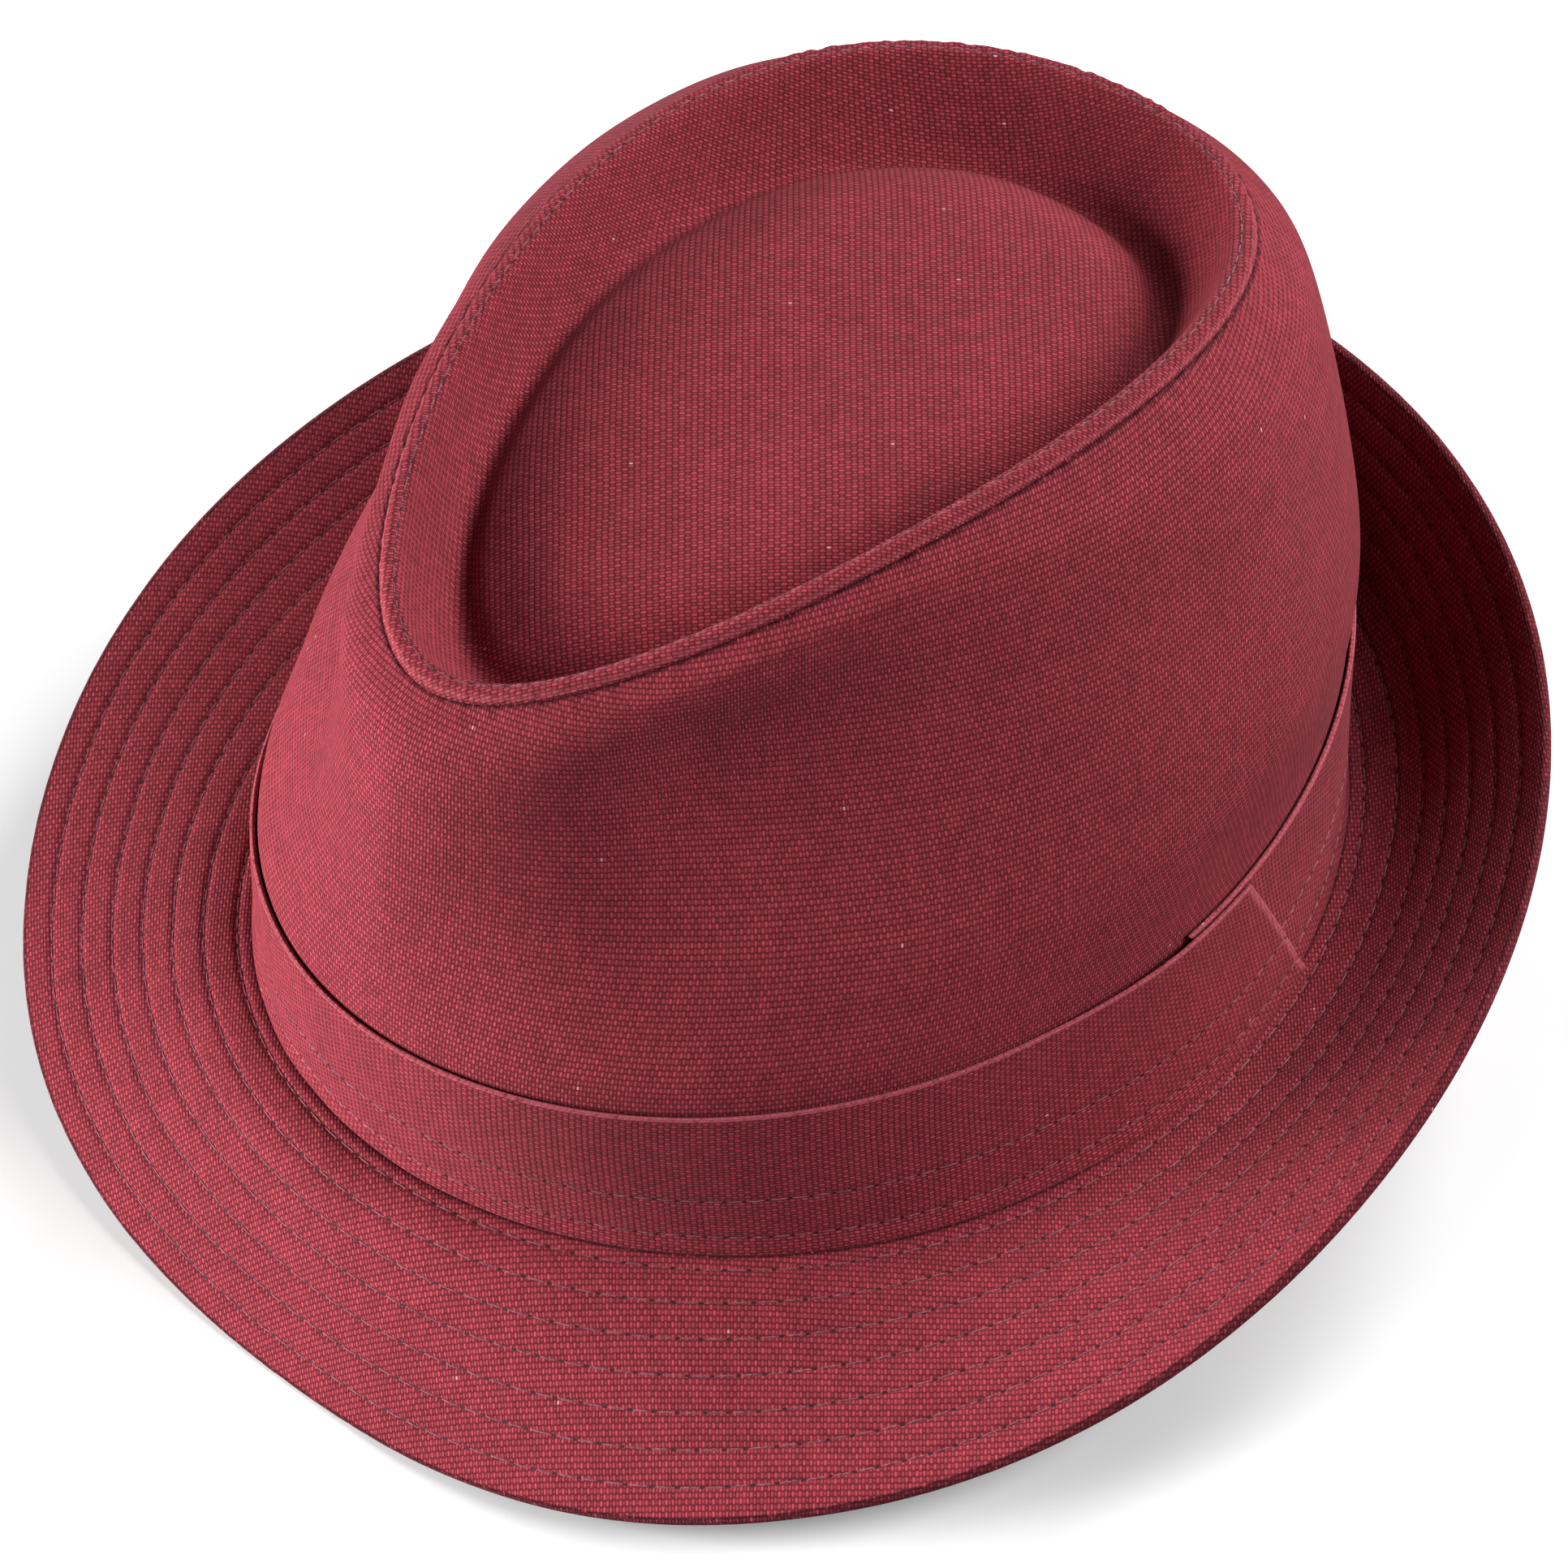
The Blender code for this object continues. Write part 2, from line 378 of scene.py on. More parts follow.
    def band(self, turn: Array, share: Array) -> Array:
        """The hat band's outer face.

        Args:
            turn: Degrees from the front, running on past 360 to the lapped end.
            share: 0 at the band's lower edge and 1 at its top.

        Returns:
            Points.
        """
        turn, share = np.broadcast_arrays(np.asarray(turn, float), np.asarray(share, float))
        start, end = self.band_turns()
        near_end = ease(1.0 - (end - turn) / self.slant_reach) + ease(1.0 - (turn - start) / self.slant_reach)
        bearing = turn + self.lap_slant * (1.0 - share) * near_end
        lifted = ease((turn - (start + 360.0 - self.lap_rise)) / self.lap_rise)
        level = self.band_level * share
        out = self.gap + self.band_wall + lifted * (self.band_wall + self.gap)
        ahead = self.wall(bearing + 1.0, level) - self.wall(bearing - 1.0, level)
        upward = self.wall(bearing, level + 0.01) - self.wall(bearing, np.maximum(level - 0.01, 0.0))
        face = unit(np.cross(ahead, upward))
        aside = unit(face * (1.0, 1.0, 0.0))
        return self.wall(bearing, level) + aside * (out / np.sum(aside * face, axis=-1))[..., None]

    def band_turns(self) -> tuple[float, float]:
        """The turns at which the hat band starts and ends, in degrees."""
        return self.lap_bearing - self.lap_span, self.lap_bearing + 360.0

    def set_down(self, points: Array) -> Array:
        """Leans the hat back onto the floor, where it lies by itself.

        Args:
            points: Points of the upright hat.

        Returns:
            The same points on the floor, pressed flat where they meet it.
        """
        lean = np.array(Matrix.Rotation(-math.radians(self.lean_back), 3, "X"))
        placed = points @ lean.T + np.array(self.set_down_by)
        placed[..., 2] = np.maximum(placed[..., 2], 0.0)
        return placed


@dataclass
class ClothFace:
    """One face of a cloth as a grid, bearings first and stations across the cloth second."""

    points: Array
    normals: Array
    across: Array

    def row(self, distance: float) -> tuple[Array, Array]:
        """The line that runs round the face at a distance across the cloth.

        Args:
            distance: Metres from the face's first station.

        Returns:
            The line's points and the cloth's normals along it.
        """
        line, looks = [], []
        for points, normals, across in zip(self.points, self.normals, self.across):
            line.append([np.interp(distance, across, points[:, axis]) for axis in range(3)])
            looks.append([np.interp(distance, across, normals[:, axis]) for axis in range(3)])
        return np.array(line), unit(np.array(looks))


@dataclass
class ClothShell:
    """A thin cloth with rounded edges, made from a surface and a relief on its outer face."""

    name: str
    surface: Callable[[Array, Array], Array]
    bearings: Array
    outer: Array
    inner: Array
    thickness: float
    relief: Callable[[Array, Array, Array], Array]
    grain: Grain
    grain_angle: float = 0.0
    flip: float = 1.0
    closed: bool = True
    domed: bool = False
    edge_steps: int = 5
    faces: dict[Side, ClothFace] = field(default_factory=dict)

    def _frames(self, stations: Array) -> tuple[Array, Array, Array, Array]:
        """Reads the surface at every bearing and station.

        Args:
            stations: Places across the cloth.

        Returns:
            Points, unit normals, unit directions across, and distances across from the first station.
        """
        turn, place = np.meshgrid(self.bearings, stations, indexing="ij")
        points = self.surface(turn, place)
        step = 1e-3 * max(float(np.ptp(stations)), 1e-9)
        limit = (float(np.min(self.outer)), float(np.max(self.outer)))
        low, high = np.maximum(place - step, limit[0]), np.minimum(place + step, limit[1])
        across = self.surface(turn, high) - self.surface(turn, low)
        ahead = self.surface(turn + 0.2, place) - self.surface(turn - 0.2, place)
        normals = unit(np.cross(ahead, across) * self.flip, 1e-12)
        across = unit(across, 1e-12)
        if self.domed:
            normals[:, place[0] >= limit[1] - 1e-9] = (0.0, 0.0, 1.0)
        gaps = np.linalg.norm(np.diff(points, axis=1), axis=-1)
        distance = np.concatenate([np.zeros((len(self.bearings), 1)), np.cumsum(gaps, axis=1)], axis=1)
        return points, normals, across, distance

    def _threads(self, points: Array, distance: Array, turn: Array, width: Array) -> Array:
        """Lays the weave's coordinates over a face.

        Args:
            points: The face's points.
            distance: Metres across the cloth from its first station.
            turn: Bearings of the points.
            width: Metres across the whole cloth, at each bearing.

        Returns:
            Two coordinates in metres for each point, along the weft and along the warp.
        """
        if self.grain is Grain.UPRIGHT_STRIP:
            middle = len(self.bearings) // 2
            steps = np.linalg.norm(np.diff(points, axis=0), axis=-1)
            along = np.concatenate([np.zeros((1, points.shape[1])), np.cumsum(steps, axis=0)])
            along = along - along[middle]
            even = along.mean(axis=1, keepdims=True)
            flat = np.stack([0.5 * (along + even), distance], axis=-1)
        elif self.grain is Grain.DISC:
            left = width - distance
            centre = points[:, -1:].mean(axis=0)
            away = unit((points - centre) * (1.0, 1.0, 0.0), 1e-9)
            flat = away[..., :2] * left[..., None]
        else:
            angle = np.radians(turn)
            wide, long = HatForm.head_half_width, HatForm.head_half_length
            foot = np.stack([wide * np.sin(angle), -long * np.cos(angle)], axis=-1)
            away = np.stack([np.sin(angle) / wide, -np.cos(angle) / long], axis=-1)
            flat = foot + unit(away) * distance[..., None]
        turned = math.radians(self.grain_angle)
        matrix = np.array([[math.cos(turned), math.sin(turned)], [-math.sin(turned), math.cos(turned)]])
        return flat @ matrix.T

    def build(self, form: HatForm) -> bpy.types.Object:
        """Makes the closed shell, with its weave coordinates and its place on the hat.

        Args:
            form: Sets the shell down on the floor.

        Returns:
            The new object, linked to the scene.
        """
        half = 0.5 * self.thickness
        turns = np.linspace(0.0, np.pi, self.edge_steps + 2)[1:-1]
        columns, weaves, places, cores = [], [], [], []
        turn, place = np.meshgrid(self.bearings, self.outer, indexing="ij")
        points, normals, tangent, distance = self._frames(self.outer)
        raised = self.relief(turn, place, distance)
        face = points + normals * raised[..., None]
        self.faces[Side.TOP] = ClothFace(face, normals, distance)
        width = distance[:, -1:]
        weave = self._threads(points, distance, turn, width)
        share = distance / width
        columns.append(face)
        cores.append(points - normals * half)
        weaves.append(weave)
        places.append(share)

        def edge(column: int, direction: float, order: Array) -> None:
            """Adds a rounded edge at a column of the face.

            Args:
                column: The face's column at that edge.
                direction: 1 past the last station, -1 before the first.
                order: Turns of the half circle, in the order in which they are added.
            """
            for angle in order:
                lift = raised[:, column] * 0.5 * (1.0 + math.cos(angle))
                depth = lift - half * (1.0 - math.cos(angle))
                slip = direction * half * math.sin(angle)
                new = points[:, column] + normals[:, column] * depth[:, None] + tangent[:, column] * slip
                columns.append(new[:, None])
                core = points[:, column] - normals[:, column] * half + tangent[:, column] * slip
                cores.append(core[:, None])
                pick = [column]
                further = distance[:, pick] + direction * half * angle
                weaves.append(self._threads(points[:, pick], further, turn[:, pick], width))
                places.append(share[:, column, None] + PAST_EDGE * direction)

        if not self.domed:
            edge(-1, 1.0, turns)
        back = self.inner[::-1]
        turn_in, place_in = np.meshgrid(self.bearings, back, indexing="ij")
        points_in, normals_in, _, _ = self._frames(back)
        under = np.stack([np.interp(back, self.outer, row) for row in distance])
        depth_in = self.thickness - 0.5 * self.relief(turn_in, place_in, under)
        face_in = points_in - normals_in * depth_in[..., None]
        self.faces[Side.UNDER] = ClothFace(face_in[:, ::-1], -normals_in[:, ::-1], under[:, ::-1])
        columns.append(face_in)
        cores.append(points_in - normals_in * half)
        weaves.append(self._threads(points_in[:, ::-1], under[:, ::-1], turn_in, width)[:, ::-1])
        places.append(under / width)
        edge(0, -1.0, turns[::-1])
        grid = np.concatenate(columns, axis=1)
        cloth = np.concatenate(weaves, axis=1)
        where = np.concatenate(places, axis=1)
        if not self.closed:
            core = np.concatenate(cores, axis=1)
            start = self._round_end(grid[0], core[0], core[0] - core[1])[::-1]
            final = self._round_end(grid[-1], core[-1], core[-1] - core[-2])
            grid = np.concatenate([start, grid, final])
            cloth = np.concatenate([cloth[:1]] * len(start) + [cloth] + [cloth[-1:]] * len(final))
            where = np.concatenate([where[:1]] * len(start) + [where] + [where[-1:]] * len(final))
        return self._mesh(form.set_down(grid), cloth, where)

    def _round_end(self, rim: Array, core: Array, ahead: Array) -> Array:
        """Rounds off the cloth where a strip ends.

        Args:
            rim: The last loop of points.
            core: The same loop, in the middle of the cloth's thickness.
            ahead: Directions past the end.

        Returns:
            Further loops, each smaller than the one before.
        """
        angles = np.radians([25.0, 50.0, 72.0, 88.0])[:, None, None]
        return core + (rim - core) * np.cos(angles) + unit(ahead) * 0.5 * self.thickness * np.sin(angles)

    def _mesh(self, grid: Array, cloth: Array, where: Array) -> bpy.types.Object:
        """Turns the closed loop of columns into a smooth mesh with two coordinate maps.

        Args:
            grid: Points, bearings first.
            cloth: Weave coordinates of the points.
            where: Shares across the cloth of the points.

        Returns:
            The new object.
        """
        count, loop = grid.shape[:2]
        links = loop - 1 if self.domed else loop
        one = np.arange(count - 1)[:, None]
        col = np.arange(links)[None, :]
        after, side = one + 1, (col + 1) % loop
        if self.domed:
            order = np.roll(np.arange(loop), -len(self.outer))
            grid, cloth, where = grid[:, order], cloth[:, order], where[:, order]
        corners = [one * loop + col, after * loop + col, after * loop + side, one * loop + side]
        quads = np.stack(corners, axis=-1).reshape(-1, 4)
        if self.flip < 0.0:
            quads = quads[:, ::-1]
        mesh = bpy.data.meshes.new(self.name)
        mesh.from_pydata(grid.reshape(-1, 3).tolist(), [], quads.tolist())
        maps = {"weave": cloth.reshape(-1, 2), "across": self._places(count, loop, where)}
        for title, values in maps.items():
            layer = mesh.uv_layers.new(name=title)
            layer.data.foreach_set("uv", values[quads.reshape(-1)].astype(np.float32).reshape(-1))
        mesh.uv_layers.active = mesh.uv_layers["weave"]
        mesh.polygons.foreach_set("use_smooth", np.ones(len(quads), bool))
        work = bmesh.new()
        work.from_mesh(mesh)
        bmesh.ops.remove_doubles(work, verts=work.verts, dist=2e-6)
        bmesh.ops.dissolve_degenerate(work, edges=work.edges, dist=1e-7)
        work.to_mesh(mesh)
        work.free()
        return add_object(self.name, mesh)

    def _places(self, count: int, loop: int, where: Array) -> Array:
        """Shares round the hat and across the cloth, as one map.

        Args:
            count: Bearings of the grid.
            loop: Columns of the grid.
            where: Shares across the cloth.

        Returns:
            Two shares for each point.
        """
        capped = (count - len(self.bearings)) // 2
        turns = np.clip((np.arange(count) - capped) / (len(self.bearings) - 1.0), 0.0, 1.0)
        around = np.repeat(turns[:, None], loop, axis=1)
        return np.stack([around, where], axis=-1).reshape(-1, 2)


@dataclass(frozen=True)
class Thread:
    """The sewing thread and how tightly it is drawn in."""

    pitch: float = 4.1 * MM
    radius: float = 0.13 * MM
    rise: float = 0.05 * MM
    sink: float = 0.30 * MM
    fill: float = 0.93
    sides: int = 6
    rings: int = 11
    twists: float = 1.5
    hole: float = 0.33 * MM
    hole_sides: int = 8


@dataclass
class Stitching:
    """Rows of lockstitch laid along lines on the cloth, as twisted threads between needle holes painted as
    near-black discs of shade.
    """

    name: str
    thread: Thread
    seed: int = 1
    vertices: list[Array] = field(default_factory=list)
    quads: list[Array] = field(default_factory=list)
    pits: list[Array] = field(default_factory=list)
    pit_faces: list[Array] = field(default_factory=list)
    total: int = 0
    pit_total: int = 0

    def add_row(self, line: Array, normals: Array, closed: bool = True, side: Side = Side.TOP) -> None:
        """Adds one row of stitches and its holes.

        Args:
            line: Points of the row, on the cloth.
            normals: The cloth's normals along the row.
            closed: True where the row runs all the way round.
            side: The face that the row shows on.
        """
        if closed:
            line, normals = np.vstack([line, line[:1]]), np.vstack([normals, normals[:1]])
        length = np.concatenate([[0.0], np.cumsum(np.linalg.norm(np.diff(line, axis=0), axis=1))])
        count = max(2, round(length[-1] / self.thread.pitch))
        dice = np.random.default_rng(self.seed + int(1e6 * length[-1]) % 9973 + int(side.value))
        marks = np.linspace(0.0, length[-1], count + 1)
        marks[1:-1] += dice.normal(0.0, 0.05 * self.thread.pitch, count - 1)
        share = np.linspace(0.0, 1.0, self.thread.rings)
        gap = 0.5 * (1.0 - self.thread.fill)
        spots = marks[:-1, None] + np.diff(marks)[:, None] * (gap + self.thread.fill * share)[None]
        points, looks, ways = self._read(line, normals, length, spots)
        sides = unit(np.cross(ways, looks))
        height = -self.thread.sink + (self.thread.sink + self.thread.rise) * np.sin(np.pi * share) ** 0.45
        bend = dice.normal(0.0, 0.03 * MM, (count, 1)) * np.sin(np.pi * share)[None]
        middle = points + looks * height[None, :, None] + sides * bend[..., None]
        angle = np.linspace(0.0, FULL_TURN, self.thread.sides, endpoint=False)
        twist = share * self.thread.twists * FULL_TURN
        oval = 1.0 + 0.24 * np.cos(2.0 * (angle[None] - twist[:, None]))
        radius = self.thread.radius * oval * (0.55 + 0.45 * np.sin(np.pi * share) ** 0.3)[:, None]
        rim = (
            middle[:, :, None]
            + looks[:, :, None] * (radius * np.sin(angle))[None, :, :, None]
            + sides[:, :, None] * (radius * np.cos(angle))[None, :, :, None]
        )
        self._keep_tubes(rim.reshape(-1, 3), count)
        self._keep_hole_shade(line, normals, length, marks[:-1] if closed else marks)

    def _read(self, line: Array, normals: Array, length: Array, spots: Array) -> tuple[Array, Array, Array]:
        """Points, normals and directions of the row at distances along it.

        Args:
            line: Points of the row.
            normals: Normals along the row.
            length: Distance along the row at each of its points.
            spots: Distances to read.

        Returns:
            The three, each with x, y and z last.
        """

        def at(values: Array, where: Array) -> Array:
            """The values at distances along the row.

            Args:
                values: One vector for each point of the row.
                where: Distances to read.

            Returns:
                The vectors there.
            """
            return np.stack([np.interp(where, length, values[:, axis]) for axis in range(3)], axis=-1)

        points, looks = at(line, spots), at(normals, spots)
        ways = at(line, spots + 0.4 * MM) - at(line, spots - 0.4 * MM)
        return points, unit(looks), unit(ways, 1e-9)

    def _keep_tubes(self, rim: Array, count: int) -> None:
        """Keeps the tubes of one row.

        Args:
            rim: Points of all rings, stitch by stitch.
            count: How many stitches there are.
        """
        rings, sides = self.thread.rings, self.thread.sides
        steps = (np.arange(count), np.arange(rings - 1), np.arange(sides))
        stitch, ring, side = np.meshgrid(*steps, indexing="ij")
        base = self.total + stitch * rings * sides + ring * sides
        after = (side + 1) % sides
        quads = np.stack([base + side, base + after, base + sides + after, base + sides + side], axis=-1)
        self.vertices.append(rim)
        self.quads.append(quads.reshape(-1, 4))
        self.total += len(rim)

    def _keep_hole_shade(self, line: Array, normals: Array, length: Array, marks: Array) -> None:
        """Keeps the near-black discs painted as the shade inside the holes where the needle went in.

        Args:
            line: Points of the row.
            normals: Normals along the row.
            length: Distance along the row at each of its points.
            marks: Distances of the holes.
        """
        points, looks, ways = self._read(line, normals, length, marks)
        sides = np.cross(ways, looks)
        corners = self.thread.hole_sides
        angle = np.linspace(0.0, FULL_TURN, corners, endpoint=False)
        rim = (
            points[:, None]
            + looks[:, None] * 0.05 * MM
            + ways[:, None] * (1.15 * self.thread.hole * np.cos(angle))[None, :, None]
            + sides[:, None] * (0.95 * self.thread.hole * np.sin(angle))[None, :, None]
        )
        centre = points + looks * 0.03 * MM
        pits = np.concatenate([centre[:, None], rim], axis=1).reshape(-1, 3)
        first = self.pit_total + np.arange(len(marks))[:, None] * (corners + 1)
        step = np.arange(corners)[None]
        faces = np.stack([first + 0 * step, first + 1 + step, first + 1 + (step + 1) % corners], axis=-1)
        self.pits.append(pits)
        self.pit_faces.append(faces.reshape(-1, 3))
        self.pit_total += len(pits)

    def build(self, form: HatForm) -> tuple[bpy.types.Object, bpy.types.Object]:
        """Makes the threads and the painted shade of their needle holes.

        Args:
            form: Sets the stitches down with the hat.

        Returns:
            The threads and the holes' painted shade.
        """
        threads = self._object(self.name, form, self.vertices, self.quads)
        holes = self._object(self.name + "_hole_shade", form, self.pits, self.pit_faces)
        return threads, holes

    def _object(self, name: str, form: HatForm, points: list[Array], faces: list[Array]) -> bpy.types.Object:
        """Makes one smooth mesh of loose parts.

        Args:
            name: The object's name.
            form: Sets the points down with the hat.
            points: Points, row by row.
            faces: Faces, row by row.

        Returns:
            The new object.
        """
        mesh = bpy.data.meshes.new(name)
        mesh.from_pydata(form.set_down(np.vstack(points)).tolist(), [], np.vstack(faces).tolist())
        mesh.polygons.foreach_set("use_smooth", np.ones(len(mesh.polygons), bool))
        return add_object(name, mesh)


class Wires:
    """Adds and joins the nodes of one shader tree."""

    def __init__(self, tree: bpy.types.NodeTree) -> None:
        """Starts on an existing tree.

        Args:
            tree: The tree to add to.
        """
        self.tree = tree

    def add(self, kind: str, **settings: object) -> bpy.types.Node:
        """Adds a node.

        Args:
            kind: The node's type name.
            settings: Properties of the node to set.

        Returns:
            The new node.
        """
        node = self.tree.nodes.new(kind)
        for name, value in settings.items():
            setattr(node, name, value)
        return node

    def put(self, socket: bpy.types.NodeSocket, value: object) -> None:
        """Joins a socket to another, or sets it.

        Args:
            socket: The input to fill.
            value: An output socket, a number or a colour.
        """
        if isinstance(value, bpy.types.NodeSocket):
            self.tree.links.new(value, socket)
        elif value is not None:
            socket.default_value = value

    def fill(self, node: bpy.types.Node, values: dict[str, object]) -> None:
        """Joins or sets several inputs of a node.

        Args:
            node: The node.
            values: What goes into each input, by the input's name.
        """
        for name, value in values.items():
            self.put(node.inputs[name], value)

    def sum(self, operation: str, *values: object, clamp: bool = False) -> bpy.types.NodeSocket:
        """One step of arithmetic.

        Args:
            operation: The Math node's operation.
            values: Up to three sockets or numbers.
            clamp: True to keep the result from 0 to 1.

        Returns:
            The result's socket.
        """
        node = self.add("ShaderNodeMath", operation=operation, use_clamp=clamp)
        for socket, value in zip(node.inputs, values):
            self.put(socket, value)
        return node.outputs[0]

    def fade(self, value: object, start: object, end: object, low: float = 0.0, high: float = 1.0) -> object:
        """A smooth step between two values.

        Args:
            value: What is read.
            start: Where the step begins.
            end: Where it ends.
            low: The result before the step.
            high: The result after it.

        Returns:
            The result's socket.
        """
        node = self.add("ShaderNodeMapRange", interpolation_type="SMOOTHSTEP")
        self.fill(node, {"Value": value, "From Min": start, "From Max": end, "To Min": low, "To Max": high})
        return node.outputs["Result"]

    def mix(self, share: object, low: object, high: object, blend: str = "MIX") -> bpy.types.NodeSocket:
        """Mixes two colours.

        Args:
            share: How much of the second there is.
            low: The first colour.
            high: The second colour.
            blend: The way of mixing.

        Returns:
            The mixed colour's socket.
        """
        node = self.add("ShaderNodeMix", data_type="RGBA", blend_type=blend)
        self.put(node.inputs["Factor"], share)
        self.put(node.inputs[6], low)
        self.put(node.inputs[7], high)
        return node.outputs[2]

    def noise(self, where: object, scale: object, detail: float = 2.0, rough: float = 0.5) -> object:
        """Soft noise.

        Args:
            where: The coordinate socket.
            scale: Waves in a metre.
            detail: Octaves of finer noise.
            rough: How strong the finer noise is.

        Returns:
            A value about 0.5.
        """
        node = self.add("ShaderNodeTexNoise")
        self.fill(node, {"Vector": where, "Scale": scale, "Detail": detail, "Roughness": rough})
        return node.outputs["Fac"]


def start_material(name: str) -> tuple[bpy.types.Material, Wires]:
    """Makes an empty material.

    Args:
        name: The material's name.

    Returns:
        The material and the wires of its tree.
    """
    material = bpy.data.materials.new(name)
    material.use_nodes = True
    material.node_tree.nodes.clear()
    return material, Wires(material.node_tree)


def show(wires: Wires, shader: bpy.types.Node) -> None:
    """Joins a shader to the material's output.

    Args:
        wires: The material's wires.
        shader: The shader node.
    """
    end = wires.add("ShaderNodeOutputMaterial")
    wires.put(end.inputs["Surface"], shader.outputs[0])


class ShaderParts:
    """The node groups that several finishes share."""

    def __init__(self) -> None:
        """Builds each group once."""
        self.weave = self._weave()
        self.dye = self._dye()
        self.fold = self._fold()

    @staticmethod
    def _group(name: str, takes: Sequence[tuple[str, str, object]], gives: Sequence[tuple[str, str]]) -> tuple:
        """Starts a group with named sockets.

        Args:
            name: The group's name.
            takes: Inputs as name, socket type and default.
            gives: Outputs as name and socket type.

        Returns:
            The group, its wires, its input node and its output node.
        """
        group = bpy.data.node_groups.new(name, "ShaderNodeTree")
        for title, kind, value in takes:
            socket = group.interface.new_socket(title, in_out="INPUT", socket_type=kind)
            if value is not None:
                socket.default_value = value
        for title, kind in gives:
            group.interface.new_socket(title, in_out="OUTPUT", socket_type=kind)
        wires = Wires(group)
        return group, wires, wires.add("NodeGroupInput"), wires.add("NodeGroupOutput")

    def _weave(self) -> bpy.types.NodeTree:
        """Plain weave: warp and weft threads that pass over and under each other in turn.

        Returns:
            The group.
        """
        number = "NodeSocketFloat"
        group, wires, source, out = self._group(
            "plain_weave",
            (
                ("Cloth", "NodeSocketVector", None),
                ("Warp Pitch", number, 0.43 * MM),
                ("Weft Pitch", number, 0.43 * MM),
                ("Weft Level", number, 0.7),
                ("Drift", number, 0.3 * MM),
            ),
            (("Height", number), ("Tone", number), ("Speck", number)),
        )
        wander = wires.add("ShaderNodeTexNoise")
        wires.fill(wander, {"Vector": source.outputs["Cloth"], "Scale": 95.0, "Detail": 2.0})
        centred = wires.add("ShaderNodeVectorMath", operation="SUBTRACT")
        wires.put(centred.inputs[0], wander.outputs["Color"])
        centred.inputs[1].default_value = (0.5, 0.5, 0.5)
        scaled = wires.add("ShaderNodeVectorMath", operation="SCALE")
        wires.put(scaled.inputs[0], centred.outputs[0])
        wires.put(scaled.inputs["Scale"], source.outputs["Drift"])
        moved = wires.add("ShaderNodeVectorMath", operation="ADD")
        wires.put(moved.inputs[0], source.outputs["Cloth"])
        wires.put(moved.inputs[1], scaled.outputs[0])
        split = wires.add("ShaderNodeSeparateXYZ")
        wires.put(split.inputs[0], moved.outputs[0])
        u = wires.sum("DIVIDE", split.outputs["X"], source.outputs["Warp Pitch"])
        v = wires.sum("DIVIDE", split.outputs["Y"], source.outputs["Weft Pitch"])
        across = wires.sum("SINE", wires.sum("MULTIPLY", u, math.pi))
        along = wires.sum("SINE", wires.sum("MULTIPLY", v, math.pi))
        over = wires.fade(wires.sum("MULTIPLY", across, along), -0.10, 0.10)
        near, far = wires.sum("ABSOLUTE", across), wires.sum("ABSOLUTE", along)
        warp = wires.sum("MULTIPLY", wires.sum("POWER", near, 0.75), wires.sum("POWER", far, 0.45))
        weft = wires.sum("MULTIPLY", wires.sum("POWER", near, 0.45), wires.sum("POWER", far, 0.75))
        weft = wires.sum("MULTIPLY", weft, source.outputs["Weft Level"])
        warp_share = wires.sum("MULTIPLY", warp, over)
        weft_share = wires.sum("MULTIPLY", weft, wires.sum("SUBTRACT", 1.0, over))
        wires.put(out.inputs["Height"], wires.sum("ADD", warp_share, weft_share))
        tones = []
        for value in (u, v):
            single = wires.add("ShaderNodeTexWhiteNoise", noise_dimensions="1D")
            wires.put(single.inputs["W"], wires.sum("FLOOR", value))
            tones.append(single.outputs["Value"])
        both = wires.sum("MULTIPLY", wires.sum("ADD", *tones), 0.10)
        slub = wires.noise(moved.outputs[0], 900.0, 2.0)
        cell = wires.add("ShaderNodeCombineXYZ")
        wires.put(cell.inputs[0], wires.sum("FLOOR", u))
        wires.put(cell.inputs[1], wires.sum("FLOOR", v))
        chance = wires.add("ShaderNodeTexWhiteNoise", noise_dimensions="2D")
        wires.put(chance.inputs["Vector"], cell.outputs[0])
        crossing = wires.sum("MULTIPLY", chance.outputs["Value"], 0.40)
        uneven = wires.sum("ADD", wires.sum("MULTIPLY", slub, 0.40), crossing)
        wires.put(out.inputs["Tone"], wires.sum("ADD", both, uneven))
        rare = wires.sum("GREATER_THAN", chance.outputs["Value"], 0.9997)
        bright = wires.fade(wires.sum("MULTIPLY", near, far), 0.35, 0.75)
        wires.put(out.inputs["Speck"], wires.sum("MULTIPLY", rare, bright))
        return group

    def _dye(self) -> bpy.types.NodeTree:
        """Slow unevenness of the dye over the cloth.

        Returns:
            The group.
        """
        number = "NodeSocketFloat"
        group, wires, source, out = self._group(
            "dye_depth",
            (("Place", "NodeSocketVector", None), ("Patches", number, 26.0), ("Mottle", number, 210.0)),
            (("Shade", number),),
        )
        values = []
        for name, detail, weight in (("Patches", 3.0, 0.6), ("Mottle", 2.0, 0.4)):
            noise = wires.noise(source.outputs["Place"], source.outputs[name], detail)
            values.append(wires.sum("MULTIPLY", wires.fade(noise, 0.3, 0.7), weight))
        wires.put(out.inputs["Shade"], wires.sum("ADD", *values))
        return group

